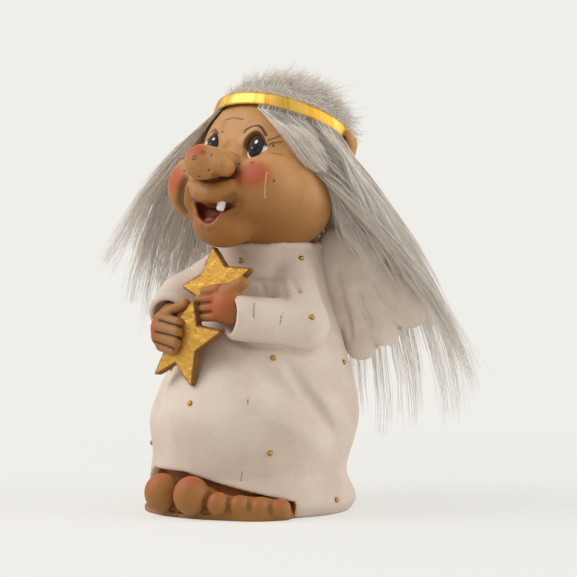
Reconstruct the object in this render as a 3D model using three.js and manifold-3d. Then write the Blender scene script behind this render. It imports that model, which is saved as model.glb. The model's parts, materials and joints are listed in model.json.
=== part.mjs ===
// Troll figurine: a moulded and painted angel troll in a white robe, with a fur wig held by a
// foil headband, two feathered wings on its back and two gilt stars in its hands.
// Millimetres, +Z up. The figure faces -Y and its left hand is at +X. The origin is the middle
// of the flat base.
import * as THREE from "three";
import { mergeVertices } from "three/addons/utils/BufferGeometryUtils.js";
import Module from "manifold-3d";

const wasm = await Module();
wasm.setup();

// Driving sizes. Points are [x, y, z]. Those of the arms, hands, stars, wings and hair have
// their height from the collar rim, and those of the face are in the head's own frame.

const FIT = 0.3; // gap wherever one piece seats on, or in, another

const ROBE = {
  height: 101, // base to collar rim
  footRadius: 37, // the flat base
  hemRadius: 39.4,
  hemHeight: 5,
  tuckRadius: 36.6, // drawn in above the hem's roll
  tuckHeight: 15,
  bellyRadius: 39.8,
  bellyHeight: 38,
  waistRadius: 30.8,
  waistHeight: 64,
  chestRadius: 23.4,
  chestHeight: 82,
  collarRadius: 19.6,
  lean: 8.5, // how far behind the base's middle the collar's middle lies
  leanFrom: 25,
  leanTo: 92,
};
// The long fold that runs down from under the left sleeve, with the swell below it
const FOLD = { angle: 70, height: 43, slope: -33, length: 24, width: 4.5, depth: 2.8 };
const SWELL = { below: 2.2, share: 0.45 }; // in fold widths, and of its depth
// The hem over the feet; the space under it is cut from beyond the robe and below the base
const ARCH = { height: 17.5, fall: 0.155, halfAngle: 67, recess: 7, beyond: 8, below: 1 };

const SLEEVE = { shoulderRadius: 8.4, elbowRadius: 9, cuffRadius: 8.2, blend: 4, past: 12 };
const LEFT_ARM = { shoulder: [15, 5, -9], elbow: [28.6, -3, -29.5], cuff: [17.5, -24.5, -26.5] };
const RIGHT_ARM = { shoulder: [-16, 4, -9], elbow: [-31, -9, -24], cuff: [-24.5, -26, -29.5] };

const HEAD = { centre: [0, 10.6, 29.5], yaw: 9, pitch: 22, blend: 5, fineBlend: 2 };
const NECK = { radius: 12, length: 22 }; // the peg inside the collar
const SKULL = { centre: [0, 2, 2], radii: [28, 29, 28.5] };
const JOWL = { centre: [0, -3, -15.5], radii: [29, 24.5, 19.5] };
const CHEEK = { centre: [14.5, -20, -17], radii: [13.5, 13.5, 13] };
const CHIN = { centre: [0, -23, -34], radii: [11, 9.5, 7] };
const LIP = { centre: [0, -30.5, -23], radii: [12.5, 7.5, 5] };
const NOSE = { root: [0, -30, -10], tip: [0, -43.5, -15.5], rootRadius: 5, tipRadius: 6.5 };
const NOSTRIL = { centre: [5.8, -37.5, -14], radii: [4.2, 5, 4.2] };
const EAR = { centre: [30, 3, 5], radii: [3.2, 5.5, 6.4] };
const EYE = { centre: [9.6, -21.4, -1.6], radii: [6, 5.2, 7] };
const SOCKET = { centre: [9.6, -29, -0.8], radii: [5.6, 5.5, 7.2] };
const MOUTH = { centre: [0, -35, -29.8], radii: [8.5, 9, 6] };
const TOOTH = { centre: [4.2, -33, -26], size: [3.4, 2.4, 7.5] };

const BAND = { width: 5, thickness: 0.5, tilt: -6, height: 15, padding: 2.4 };
const WIG = { thickness: 6, seat: 0.6 }; // the fur over the crown and its gap to the skull
// Flat and full are degrees from the hairline, between which the swell of the hair grows
const LOCK = { thickness: 5, tipThickness: 3, bulge: 9.5, swellAt: 0.45, flat: 6, full: 60 };
// Where the hair ends, from the left temple round behind to the right temple
const TIPS = [
  [33, 28, -14],
  [50, 42, -23],
  [61, 50, -39],
  [64, 55, -55],
  [40, 60, -66],
  [0, 58, -70],
  [-36, 57, -65],
  [-59, 48, -49],
  [-66, 25, -34],
  [-66, 2, -23],
  [-66, -16, -7],
];
const HAIRLINE = { from: 13, to: 327 }; // degrees from the front, where the hair begins and ends
const NAPE = 104; // degrees where the side locks give way to the back one
const SPLIT = 2; // degrees between a side lock and the back one

const STAR = { reach: 15.6, waist: 7.2, thickness: 3.4 };
const UPPER_STAR = { centre: [3.4, -25.2, -15.5], yaw: 10, pitch: 10, spin: 7 };
const LOWER_STAR = { centre: [-3.8, -33.6, -36.1], yaw: 2, pitch: 4, spin: -10 };

const LEFT_HAND = {
  palm: { centre: [12, -27, -21.5], radii: [7, 4.5, 7.5] },
  wrist: { from: [12, -27, -23], to: [24, -12, -27.5], radius: 5.6 },
  fingers: [
    { from: [9.5, -29, -15.8], to: [2.6, -29, -17], radius: 1.9 },
    { from: [9, -29.6, -19.1], to: [1, -29.8, -20], radius: 2 },
    { from: [9, -29.8, -22.6], to: [0.6, -30.4, -23.4], radius: 2 },
    { from: [9.6, -29.8, -26], to: [2, -30.4, -26.4], radius: 1.9 },
    { from: [13, -26.6, -17], to: [19.5, -24.6, -12.5], radius: 2.3 },
  ],
};
const RIGHT_HAND = {
  palm: { centre: [-15.5, -34, -33.7], radii: [5.5, 6, 8] },
  wrist: { from: [-15.5, -33, -33], to: [-31, -12, -25], radius: 5.6 },
  fingers: [
    { from: [-15.4, -37.2, -28.8], to: [-5.6, -37.6, -30.4], radius: 2.1 },
    { from: [-16.6, -37.6, -32.4], to: [-5.4, -38.2, -34], radius: 2.2 },
    { from: [-16.6, -37.6, -36.2], to: [-6, -38.2, -37.7], radius: 2.1 },
    { from: [-15.2, -37, -39.6], to: [-7.6, -37.8, -40.8], radius: 1.9 },
    { from: [-14, -34.5, -27.4], to: [-4.6, -33, -21.6], radius: 2.2 },
  ],
};

// Toes of the left foot, from the big one: centre and radii
const TOES = [
  { centre: [7.6, -41.2, 8.8], radii: [6.7, 6.8, 7.3] },
  { centre: [17.4, -37, 6.2], radii: [4.4, 4.6, 4.4] },
  { centre: [24.2, -32.6, 5.8], radii: [3.7, 4, 3.8] },
  { centre: [30, -27.8, 5.3], radii: [3.5, 3.8, 3.6] },
  { centre: [35, -22.2, 4.6], radii: [3.8, 4, 3.6] },
];
const FOOT = { centre: [18, -19.5, 1.5], radii: [17.4, 16.5, 8.5] };
const BIG_TOE_JOINT = { to: [12, -27, 5.5], radius: 4.6 };
const RIGHT_FOOT_TURN = 12; // degrees that the right foot is turned in under the hem

// The left wing lies in its own plane: across runs outwards, and heights are the figure's
const WING = { root: [12, 27], bearing: 28, lean: 6, thickness: 3.6 };
const FEATHERS = [
  { from: [7, -3], to: [14, -5], width: 10, thick: 1.15 },
  { from: [14, -8], to: [33.2, -25.4], width: 7.2, thick: 1 },
  { from: [10, -9], to: [23.5, -32.6], width: 6.8, thick: 0.85 },
  { from: [7, -13], to: [14.6, -38.6], width: 6.4, thick: 0.75 },
  { from: [9, -9], to: [14, -28.6], width: 5, thick: 1.1 },
];
const PEG = { at: [5, -11], radius: 2.2, length: 12 }; // holds the wing to the robe's back

const STUD = { radius: 1.15, depth: 1.6, proud: 0.7 };
// Degrees round from the front, towards the figure's left, and share of the robe's height
const STUDS = [
  [13, 0.941],
  [76, 0.946],
  [69, 0.741],
  [51.5, 0.589],
  [112.6, 0.559],
  [4.5, 0.422],
  [53, 0.246],
  [96.4, 0.059],
  [-30, 0.535],
  [-48, 0.248],
  [-85, 0.416],
  [-80, 0.079],
  [-72, 0.941],
  [152, 0.337],
  [176, 0.673],
  [-150, 0.495],
  [-160, 0.139],
];

const COLOURS = {
  skin: [0xb97f4a, 0.62, 0],
  robe: [0xe2d6ce, 0.78, 0],
  wing: [0xe6dbd0, 0.7, 0],
  gilt: [0xc08a24, 0.45, 0.6],
  foil: [0xe9b53a, 0.25, 0.9],
  fur: [0xbdb2a6, 0.85, 0],
  eye: [0xf1ece6, 0.2, 0],
  tooth: [0xf4f0ea, 0.35, 0],
};

// Small helpers

const radians = THREE.MathUtils.degToRad;
const mix = THREE.MathUtils.lerp;
const smooth = (value, from, to) => THREE.MathUtils.smoothstep(value, from, to);
const vec = (point) => new THREE.Vector3(...point);
const fromCollar = ([x, y, z]) => [x, y, ROBE.height + z];
const mirrored = ([x, y, z]) => [-x, y, z];
const otherSide = (form) => ({ ...form, centre: mirrored(form.centre) });

// Fields: the distance from a point to a rounded form, below zero inside it

function lump({ centre, radii }) {
  const middle = vec(centre);
  const size = vec(radii);
  const scaled = new THREE.Vector3();
  return (point) => {
    const outer = scaled.subVectors(point, middle).divide(size).length();
    const slope = scaled.divide(size).length();
    return slope === 0 ? -Math.min(...radii) : (outer * (outer - 1)) / slope;
  };
}

function rod(from, to, fromRadius, toRadius) {
  const line = new THREE.Line3(vec(from), vec(to));
  const nearest = new THREE.Vector3();
  return (point) => {
    const along = line.closestPointToPointParameter(point, true);
    return line.at(along, nearest).distanceTo(point) - mix(fromRadius, toRadius, along);
  };
}

function softMin(a, b, width) {
  const near = Math.max(width - Math.abs(a - b), 0) / width;
  return Math.min(a, b) - (near * near * width) / 4;
}

const blended = (width, ...fields) => (point) =>
  fields.map((field) => field(point)).reduce((a, b) => softMin(a, b, width));

const grown = (field, by) => (point) => field(point) - by;

// Solids

function solidOf(geometry, matrix = new THREE.Matrix4()) {
  const bare = new THREE.BufferGeometry();
  bare.setAttribute("position", geometry.getAttribute("position").clone());
  if (geometry.index) bare.setIndex(geometry.index.clone());
  const merged = mergeVertices(bare.applyMatrix4(matrix), 1e-4);
  return new wasm.Manifold(
    new wasm.Mesh({
      numProp: 3,
      vertProperties: new Float32Array(merged.getAttribute("position").array),
      triVerts: new Uint32Array(merged.index.array),
    }),
  );
}

function geometryOf(solid, matrix = new THREE.Matrix4()) {
  const { vertProperties, triVerts } = solid.getMesh();
  const geometry = new THREE.BufferGeometry();
  geometry.setAttribute("position", new THREE.BufferAttribute(vertProperties, 3));
  geometry.setIndex(new THREE.BufferAttribute(triVerts, 1));
  return geometry.applyMatrix4(matrix);
}

const joined = (solids) => solids.reduce((a, b) => a.add(b));

// How far along a ray from origin the form's outside lies, coming in from reach.
const SEARCH = { reach: 70, share: 0.7, shortest: 0.2, halvings: 12 };

function distanceTo(field, origin, direction) {
  const point = new THREE.Vector3();
  const clearance = (distance) => field(point.copy(origin).addScaledVector(direction, distance));
  let outside = SEARCH.reach;
  let inside = SEARCH.reach;
  for (let gap = clearance(inside); gap > 0 && inside > 0; gap = clearance(inside)) {
    outside = inside;
    inside = outside - Math.max(gap * SEARCH.share, SEARCH.shortest);
  }
  for (let halving = 0; halving < SEARCH.halvings; halving++) {
    const between = (outside + inside) / 2;
    if (clearance(between) > 0) outside = between;
    else inside = between;
  }
  return inside;
}

// A closed skin over a rounded form: the points of a ball round centre, each brought in along
// its own ray until it meets the form.
function skin(field, centre, detail) {
  const ball = new THREE.IcosahedronGeometry(1, detail);
  ball.deleteAttribute("normal");
  ball.deleteAttribute("uv");
  const geometry = mergeVertices(ball, 1e-5);
  const points = geometry.getAttribute("position");
  const middle = vec(centre);
  const ray = new THREE.Vector3();
  for (let i = 0; i < points.count; i++) {
    ray.fromBufferAttribute(points, i).normalize();
    ray.multiplyScalar(distanceTo(field, middle, ray)).add(middle);
    points.setXYZ(i, ray.x, ray.y, ray.z);
  }
  return geometry;
}

// A box of unit size with its faces divided, and each point moved to where place puts it.
function bent([across, deep, high], place) {
  const geometry = new THREE.BoxGeometry(1, 1, 1, across, deep, high);
  const points = geometry.getAttribute("position");
  for (let i = 0; i < points.count; i++) {
    const { x, y, z } = place(points.getX(i) + 0.5, points.getY(i) + 0.5, points.getZ(i) + 0.5);
    points.setXYZ(i, x, y, z);
  }
  return geometry;
}

// Stands a piece that was made along Y between two points.
function stood(geometry, from, to) {
  const axis = vec(to).sub(vec(from));
  const up = new THREE.Vector3(0, 1, 0);
  const turn = new THREE.Quaternion().setFromUnitVectors(up, axis.clone().normalize());
  const middle = vec(from).addScaledVector(axis, 0.5);
  return geometry.applyQuaternion(turn).translate(middle.x, middle.y, middle.z);
}

function post(from, to, radius, sides = 16) {
  const length = vec(from).distanceTo(vec(to));
  return stood(new THREE.CylinderGeometry(radius, radius, length, sides), from, to);
}

function finger({ from, to, radius }, extra = 0) {
  const length = vec(from).distanceTo(vec(to));
  return stood(new THREE.CapsuleGeometry(radius + extra, length, 2, 8), from, to);
}

function ellipsoid({ centre, radii }, extra = 0, across = 14, high = 9) {
  const [x, y, z] = radii.map((radius) => radius + extra);
  return new THREE.SphereGeometry(1, across, high).scale(x, y, z).translate(...centre);
}

function mesh(name, geometry, colour) {
  const [color, roughness, metalness] = COLOURS[colour];
  const material = new THREE.MeshStandardMaterial({ color, roughness, metalness });
  const made = new THREE.Mesh(geometry, material);
  made.name = name;
  return made;
}

// The robe's outline

const OUTLINE = [
  [0, ROBE.footRadius],
  [ROBE.hemHeight, ROBE.hemRadius],
  [ROBE.tuckHeight, ROBE.tuckRadius],
  [ROBE.bellyHeight, ROBE.bellyRadius],
  [ROBE.waistHeight, ROBE.waistRadius],
  [ROBE.chestHeight, ROBE.chestRadius],
  [ROBE.height, ROBE.collarRadius],
];

// A smooth curve through the outline's points: radius against height.
function outlineRadius(height) {
  const last = OUTLINE.length - 1;
  const i = Math.max(0, Math.min(last - 1, OUTLINE.findLastIndex(([z]) => z <= height)));
  const slopeAt = (k) => {
    const [below, above] = [OUTLINE[Math.max(0, k - 1)], OUTLINE[Math.min(last, k + 1)]];
    return (above[1] - below[1]) / (above[0] - below[0]);
  };
  const [[z0, r0], [z1, r1]] = [OUTLINE[i], OUTLINE[i + 1]];
  const span = z1 - z0;
  const t = Math.max(0, Math.min(1, (height - z0) / span));
  const rise = t * t * (3 - 2 * t);
  const out = t * (1 - t) * (1 - t) * span * slopeAt(i);
  const back = t * t * (t - 1) * span * slopeAt(i + 1);
  return mix(r0, r1, rise) + out + back;
}

const leanAt = (height) => ROBE.lean * smooth(height, ROBE.leanFrom, ROBE.leanTo);

function foldDepth(angle, height) {
  const across = radians(angle - FOLD.angle) * ROBE.bellyRadius;
  const up = height - FOLD.height;
  const slope = radians(FOLD.slope);
  const along = across * Math.cos(slope) + up * Math.sin(slope);
  const off = up * Math.cos(slope) - across * Math.sin(slope);
  const fade = Math.exp(-((along / FOLD.length) ** 4));
  const valley = Math.exp(-((off / FOLD.width) ** 2));
  const swell = Math.exp(-((off / FOLD.width + SWELL.below) ** 2));
  return FOLD.depth * fade * (valley - SWELL.share * swell);
}

const robeRadius = (angle, height) => outlineRadius(height) - foldDepth(angle, height);

function onRobe(angle, height, inwards = 0) {
  const radius = robeRadius(angle, height) - inwards;
  const turn = radians(angle);
  return new THREE.Vector3(
    radius * Math.sin(turn),
    leanAt(height) - radius * Math.cos(turn),
    height,
  );
}

// Robe

const ROBE_MESH = { levels: 18, sides: 40 };

function robeBody(extra = 0) {
  const { levels, sides } = ROBE_MESH;
  const profile = [new THREE.Vector2(0, 0)];
  for (let level = 0; level <= levels; level++) {
    profile.push(new THREE.Vector2(1, (ROBE.height * level) / levels));
  }
  profile.push(new THREE.Vector2(0, ROBE.height));
  const geometry = new THREE.LatheGeometry(profile, sides).rotateX(Math.PI / 2);
  const points = geometry.getAttribute("position");
  for (let i = 0; i < points.count; i++) {
    const [x, y, z] = [points.getX(i), points.getY(i), points.getZ(i)];
    const angle = THREE.MathUtils.radToDeg(Math.atan2(x, -y));
    const radius = Math.hypot(x, y) * (robeRadius(angle, z) + extra);
    const turn = radians(angle);
    points.setXYZ(i, radius * Math.sin(turn), leanAt(z) - radius * Math.cos(turn), z);
  }
  return solidOf(geometry);
}

function sleeve(arm) {
  const [shoulder, elbow, cuff] = [arm.shoulder, arm.elbow, arm.cuff].map(fromCollar);
  const forearm = vec(cuff).sub(vec(elbow)).normalize();
  const pastCuff = (by) => vec(cuff).addScaledVector(forearm, by).toArray();
  const field = blended(
    SLEEVE.blend,
    rod(shoulder, elbow, SLEEVE.shoulderRadius, SLEEVE.elbowRadius),
    rod(elbow, pastCuff(SLEEVE.past), SLEEVE.elbowRadius, SLEEVE.cuffRadius),
  );
  const past = post(cuff, pastCuff(3 * SLEEVE.past), 2 * SLEEVE.cuffRadius);
  return solidOf(skin(field, elbow, 5)).subtract(solidOf(past));
}

const archHeight = (angle) => ARCH.height - ARCH.fall * Math.abs(angle);

// The space under the raised hem, where the feet come out.
function archCut() {
  return solidOf(
    bent([28, 1, 1], (across, deep, high) => {
      const angle = mix(-ARCH.halfAngle, ARCH.halfAngle, across);
      const height = mix(-ARCH.below, archHeight(angle), high);
      const inwards = mix(-ARCH.beyond, ARCH.recess, deep);
      return onRobe(angle, Math.max(0, height), inwards).setZ(height);
    }),
  );
}

// Head

const headGroup = new THREE.Group();
headGroup.position.set(...fromCollar(HEAD.centre));
headGroup.rotation.set(-radians(HEAD.pitch), 0, radians(HEAD.yaw), "ZXY");
headGroup.updateMatrix();
const headPlace = headGroup.matrix;
const headUnplace = headPlace.clone().invert();

const skullField = blended(HEAD.blend, lump(SKULL), lump(JOWL));
const cheeksField = blended(HEAD.blend, lump(CHEEK), lump(otherSide(CHEEK)), lump(CHIN));
const earField = blended(HEAD.fineBlend, lump(EAR), lump(otherSide(EAR)));
const roundHead = blended(HEAD.blend, skullField, cheeksField);
const headField = blended(HEAD.fineBlend, roundHead, lump(LIP), earField);
const MIDDLE_OF_HEAD = [0, -6, -6];
const HEAD_DETAIL = 9;

// The peg under the head that goes down inside the robe.
function neck(extra = 0) {
  const [x, y, middle] = fromCollar(HEAD.centre);
  const foot = [x, y, ROBE.height - NECK.length - extra];
  return solidOf(post([x, y, (ROBE.height + middle) / 2], foot, NECK.radius + extra, 24));
}

const headRoom = solidOf(skin(grown(headField, FIT), MIDDLE_OF_HEAD, HEAD_DETAIL), headPlace);
const neckRoom = neck(FIT);

function nose() {
  const { root, tip, rootRadius, tipRadius } = NOSE;
  const bridge = stood(
    new THREE.CylinderGeometry(rootRadius, rootRadius, vec(root).distanceTo(vec(tip)), 16),
    root,
    tip,
  );
  const ball = ellipsoid({ centre: tip, radii: [tipRadius, tipRadius, tipRadius] });
  const wings = [NOSTRIL, otherSide(NOSTRIL)].map((one) => ellipsoid(one, 0, 12, 8));
  return joined([bridge, ball, ...wings].map((one) => solidOf(one)));
}

function headSolid() {
  const hollows = [SOCKET, otherSide(SOCKET), MOUTH].map((one) => ellipsoid(one));
  const eyeRooms = [EYE, otherSide(EYE)].map((eye) => ellipsoid(eye, FIT));
  const cuts = [...hollows, ...eyeRooms, tooth(FIT)].map((one) => solidOf(one));
  return solidOf(skin(headField, MIDDLE_OF_HEAD, HEAD_DETAIL))
    .add(neck().transform(headUnplace.elements))
    .subtract(joined(cuts))
    .add(nose());
}

function tooth(extra = 0) {
  const [width, depth, height] = TOOTH.size.map((side) => side + 2 * extra);
  return new THREE.CapsuleGeometry(0.5, 1, 3, 8)
    .rotateX(Math.PI / 2)
    .scale(width, depth, height / 2)
    .translate(...TOOTH.centre);
}

// Headband and hair. They share the band's own frame: its plane is tipped in the head's.

const bandGroup = new THREE.Group();
bandGroup.position.set(0, 0, BAND.height);
bandGroup.rotation.x = radians(BAND.tilt);
bandGroup.updateMatrix();
const bandUnplace = bandGroup.matrix.clone().invert();
const bandPlace = headPlace.clone().multiply(bandGroup.matrix);

const inBand = new THREE.Vector3();
const heightOverBand = (point) => inBand.copy(point).applyMatrix4(bandUnplace).z;

// A point on the skull, so far above the band's middle line and so far out from the skin.
function onSkull(angle, height, out) {
  const turn = radians(angle);
  const ray = new THREE.Vector3(Math.sin(turn), -Math.cos(turn), 0);
  const centre = new THREE.Vector3(0, SKULL.centre[1], height).applyMatrix4(bandGroup.matrix);
  const tipped = ray.clone().transformDirection(bandGroup.matrix);
  const reach = distanceTo(skullField, centre, tipped) + out;
  return ray.multiplyScalar(reach).add(new THREE.Vector3(0, SKULL.centre[1], height));
}

// What of a solid lies over, or under, a plane at some height across the band's frame.
function overBand(solid, height, sign = 1) {
  const up = new THREE.Vector3(0, 0, sign).transformDirection(bandPlace);
  const level = new THREE.Vector3(0, 0, height).applyMatrix4(bandPlace);
  return solid.trimByPlane(up.toArray(), up.dot(level));
}

const underBand = (solid, height) => overBand(solid, height, -1);

// The band stands upright on the line where it meets the padding; its room is that much larger.
function bandSolid(extra = 0) {
  const half = BAND.width / 2 + extra;
  const profile = [
    new THREE.Vector2(1, -half),
    new THREE.Vector2(2, -half),
    new THREE.Vector2(2, half),
    new THREE.Vector2(1, half),
    new THREE.Vector2(1, -half),
  ];
  const geometry = new THREE.LatheGeometry(profile, 48).rotateX(Math.PI / 2);
  const points = geometry.getAttribute("position");
  for (let i = 0; i < points.count; i++) {
    const [x, y, z] = [points.getX(i), points.getY(i), points.getZ(i)];
    const angle = THREE.MathUtils.radToDeg(Math.atan2(x, -y));
    const share = Math.hypot(x, y) - 1;
    const out = BAND.padding + mix(-extra, BAND.thickness + extra, share);
    const place = onSkull(angle, 0, out);
    points.setXYZ(i, place.x, place.y, z);
  }
  return solidOf(geometry, bandPlace);
}

// Fur over the crown, pressed flat where the band goes round it. It ends behind the band.
function crown() {
  const pressed = BAND.padding - FIT;
  const top = BAND.width / 2 + FIT;
  const thicknessAt = (point) =>
    mix(pressed, WIG.thickness, smooth(heightOverBand(point), top, top + WIG.thickness));
  const fur = (point) => skullField(point) - thicknessAt(point);
  const dome = solidOf(skin(fur, SKULL.centre, 6), headPlace);
  const inside = solidOf(skin(grown(skullField, WIG.seat), SKULL.centre, 5), headPlace);
  return overBand(dome, 0).subtract(inside.add(bandSolid(FIT)));
}

// The ends of the hair all the way round, by the angle from the front.
const ENDS = new THREE.CatmullRomCurve3(TIPS.map(fromCollar).map(vec));

function endAt(angle) {
  const share = (angle - HAIRLINE.from) / (HAIRLINE.to - HAIRLINE.from);
  return ENDS.getPoint(THREE.MathUtils.clamp(share, 0, 1));
}

const STEP = { angle: 1, along: 0.02 }; // to either side, for the slope of the hair's surface

// The hair's inner side, from the band (along = 1) to its end (along = 0). It lies flat beside
// the face and swells outwards further back.
function hairPoint(angle, along) {
  const root = onSkull(angle, 0, WIG.seat).applyMatrix4(bandPlace);
  const end = endAt(angle);
  const outward = new THREE.Vector3(end.x, end.y - HEAD.centre[1], 0).normalize();
  const fromEdge = Math.min(angle - HAIRLINE.from, HAIRLINE.to - angle);
  const bulge = LOCK.bulge * smooth(fromEdge, LOCK.flat, LOCK.full);
  const swell = root.clone().lerp(end, LOCK.swellAt).addScaledVector(outward, bulge);
  return new THREE.QuadraticBezierCurve3(end, swell, root).getPoint(along);
}

function lock(fromAngle, toAngle, columns) {
  const place = (across, deep, along) => {
    const angle = mix(toAngle, fromAngle, across);
    const [right, left] = [-STEP.angle, STEP.angle].map((by) => hairPoint(angle + by, along));
    const [under, over] = [-STEP.along, STEP.along].map((by) => hairPoint(angle, along + by));
    const outward = left.sub(right).cross(over.sub(under)).normalize();
    const depth = deep * mix(LOCK.tipThickness, LOCK.thickness, along);
    return hairPoint(angle, along).addScaledVector(outward, depth);
  };
  const curtain = solidOf(bent([columns, 1, 8], place));
  return underBand(curtain, -BAND.width / 2 - FIT).subtract(headRoom);
}

// Stars

function star(extra = 0) {
  const outline = new THREE.Shape();
  const corners = 10;
  for (let corner = 0; corner < corners; corner++) {
    const radius = (corner % 2 ? STAR.waist : STAR.reach) + extra;
    const turn = Math.PI / 2 + (corner * 2 * Math.PI) / corners;
    const [x, y] = [radius * Math.cos(turn), radius * Math.sin(turn)];
    if (corner) outline.lineTo(x, y);
    else outline.moveTo(x, y);
  }
  const depth = STAR.thickness + 2 * extra;
  const options = { depth, bevelEnabled: false };
  return new THREE.ExtrudeGeometry(outline, options).translate(0, 0, -depth / 2);
}

function starPlace({ centre, yaw, pitch, spin }) {
  const group = new THREE.Group();
  group.position.set(...fromCollar(centre));
  group.rotation.set(Math.PI / 2 - radians(pitch), 0, radians(yaw), "ZXY");
  group.updateMatrix();
  return group.matrix.multiply(new THREE.Matrix4().makeRotationZ(radians(spin)));
}

const upperPlace = starPlace(UPPER_STAR);
const lowerPlace = starPlace(LOWER_STAR);
const starRoom = solidOf(star(FIT), upperPlace).add(solidOf(star(FIT), lowerPlace));

// Hands

// The room for a wrist in its sleeve, a little deeper than the wrist is long.
function wristRoom({ wrist }) {
  const { from, to, radius } = wrist;
  const beyond = vec(to).addScaledVector(vec(to).sub(vec(from)).normalize(), FIT);
  return solidOf(post(from, beyond.toArray(), radius + FIT));
}

function placed(one) {
  const { centre, from, to } = one;
  return centre
    ? { ...one, centre: fromCollar(centre) }
    : { ...one, from: fromCollar(from), to: fromCollar(to) };
}

const placedHand = ({ palm, wrist, fingers }) => ({
  palm: placed(palm),
  wrist: placed(wrist),
  fingers: fingers.map(placed),
});

function hand({ palm, wrist, fingers }) {
  const arm = solidOf(post(wrist.from, wrist.to, wrist.radius));
  return joined([
    solidOf(ellipsoid(palm)),
    arm,
    ...fingers.map((one) => solidOf(finger(one))),
  ]).subtract(starRoom);
}

// Feet

function foot(extra = 0) {
  const toes = TOES.map((toe) => solidOf(ellipsoid(toe, extra, 10, 6)));
  const joint = solidOf(finger({ from: TOES[0].centre, ...BIG_TOE_JOINT }, extra));
  const whole = joined([solidOf(ellipsoid(FOOT, extra, 16, 8)), joint, ...toes]);
  return extra ? whole : whole.trimByPlane([0, 0, 1], 0);
}

const rightOf = (solid) => solid.mirror([1, 0, 0]);
const onlySide = (solid, side) => solid.trimByPlane([side, 0, 0], FIT / 2);

// The right foot is the left one's mirror, turned about the big toe.
function rightFoot(solid) {
  const [x, y] = TOES[0].centre;
  return rightOf(solid)
    .translate([x, -y, 0])
    .rotate([0, 0, -RIGHT_FOOT_TURN])
    .translate([-x, y, 0]);
}

// Wings

const wingAxis = new THREE.Vector3(
  Math.cos(radians(WING.bearing)),
  Math.sin(radians(WING.bearing)),
  0,
);
const wingFacing = new THREE.Vector3(wingAxis.y, -wingAxis.x, Math.sin(radians(WING.lean)));

function onWing([across, height]) {
  const [x, y] = WING.root;
  return new THREE.Vector3(x, y, ROBE.height + height).addScaledVector(wingAxis, across);
}

function feather({ from, to, width, thick }) {
  const [start, end] = [from, to].map(onWing);
  const along = end.clone().sub(start).normalize();
  const side = new THREE.Vector3().crossVectors(along, wingFacing).normalize();
  const facing = new THREE.Vector3().crossVectors(side, along);
  const place = new THREE.Matrix4().makeBasis(side, along, facing);
  place.setPosition(start.clone().lerp(end, 0.5));
  const flat = (thick * WING.thickness) / width;
  const geometry = new THREE.CapsuleGeometry(width, start.distanceTo(end), 3, 10);
  return solidOf(geometry.scale(1, 1, flat), place);
}

function wingPeg(extra = 0) {
  const start = onWing(PEG.at);
  const inwards = new THREE.Vector3(-start.x, leanAt(start.z) - start.y, 0).normalize();
  const end = start.clone().addScaledVector(inwards, PEG.length + extra);
  return solidOf(post(start.toArray(), end.toArray(), PEG.radius + extra, 12));
}

// Put together

const body = robeBody();
const sleeves = [LEFT_ARM, RIGHT_ARM].map(sleeve);
const hands = [LEFT_HAND, RIGHT_HAND].map(placedHand);
const leftFoot = foot();
const feet = [onlySide(leftFoot, 1), onlySide(rightFoot(leftFoot), -1)];
const footRoom = foot(FIT);

let robe = joined([body, ...sleeves]).subtract(
  joined([
    headRoom,
    neckRoom,
    starRoom,
    archCut(),
    footRoom,
    rightFoot(footRoom),
    wingPeg(FIT),
    rightOf(wingPeg(FIT)),
    ...hands.map(wristRoom),
  ]),
);

const bodyRoom = robeBody(FIT);

function wing() {
  return joined(FEATHERS.map(feather)).subtract(bodyRoom).add(wingPeg());
}

// Each stud stands square to the cloth where a line in from outside meets it.
const cloth = new THREE.Mesh(
  geometryOf(robe),
  new THREE.MeshBasicMaterial({ side: THREE.DoubleSide }),
);

function studSeat([angle, share]) {
  const height = share * ROBE.height;
  const outside = onRobe(angle, height, -2 * ROBE.collarRadius);
  const inwards = onRobe(angle, height).sub(outside).normalize();
  const [{ point, face }] = new THREE.Raycaster(outside, inwards).intersectObject(cloth);
  return { point, out: face.normal };
}

function stud({ point, out }, extra = 0) {
  const end = point.clone().addScaledVector(out, -STUD.depth - extra);
  const top = point.clone().addScaledVector(out, STUD.proud + extra);
  return post(end.toArray(), top.toArray(), STUD.radius + extra, 8);
}

const seats = STUDS.map(studSeat);
robe = robe.subtract(joined(seats.map((seat) => solidOf(stud(seat, FIT)))));

const figure = new THREE.Group();
figure.name = "troll_figurine";
const leftWing = wing();
figure.add(
  mesh("robe", geometryOf(robe), "robe"),
  mesh("head", geometryOf(headSolid(), headPlace), "skin"),
  mesh("left_eye", ellipsoid(EYE).applyMatrix4(headPlace), "eye"),
  mesh("right_eye", ellipsoid(otherSide(EYE)).applyMatrix4(headPlace), "eye"),
  mesh("tooth", tooth().applyMatrix4(headPlace), "tooth"),
  mesh("headband", geometryOf(bandSolid()), "foil"),
  mesh("crown_fur", geometryOf(crown()), "fur"),
  mesh("left_lock", geometryOf(lock(HAIRLINE.from, NAPE, 9)), "fur"),
  mesh("right_lock", geometryOf(lock(360 - NAPE, HAIRLINE.to, 8)), "fur"),
  mesh("back_lock", geometryOf(lock(NAPE + SPLIT, 360 - NAPE - SPLIT, 14)), "fur"),
  mesh("left_hand", geometryOf(hand(hands[0])), "skin"),
  mesh("right_hand", geometryOf(hand(hands[1])), "skin"),
  mesh("upper_star", star().applyMatrix4(upperPlace), "gilt"),
  mesh("lower_star", star().applyMatrix4(lowerPlace), "gilt"),
  mesh("left_foot", geometryOf(feet[0]), "skin"),
  mesh("right_foot", geometryOf(feet[1]), "skin"),
  mesh("left_wing", geometryOf(leftWing), "wing"),
  mesh("right_wing", geometryOf(rightOf(leftWing)), "wing"),
);
seats.forEach((seat, i) => figure.add(mesh(`stud_${i + 1}`, stud(seat), "gilt")));

export default figure;
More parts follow.
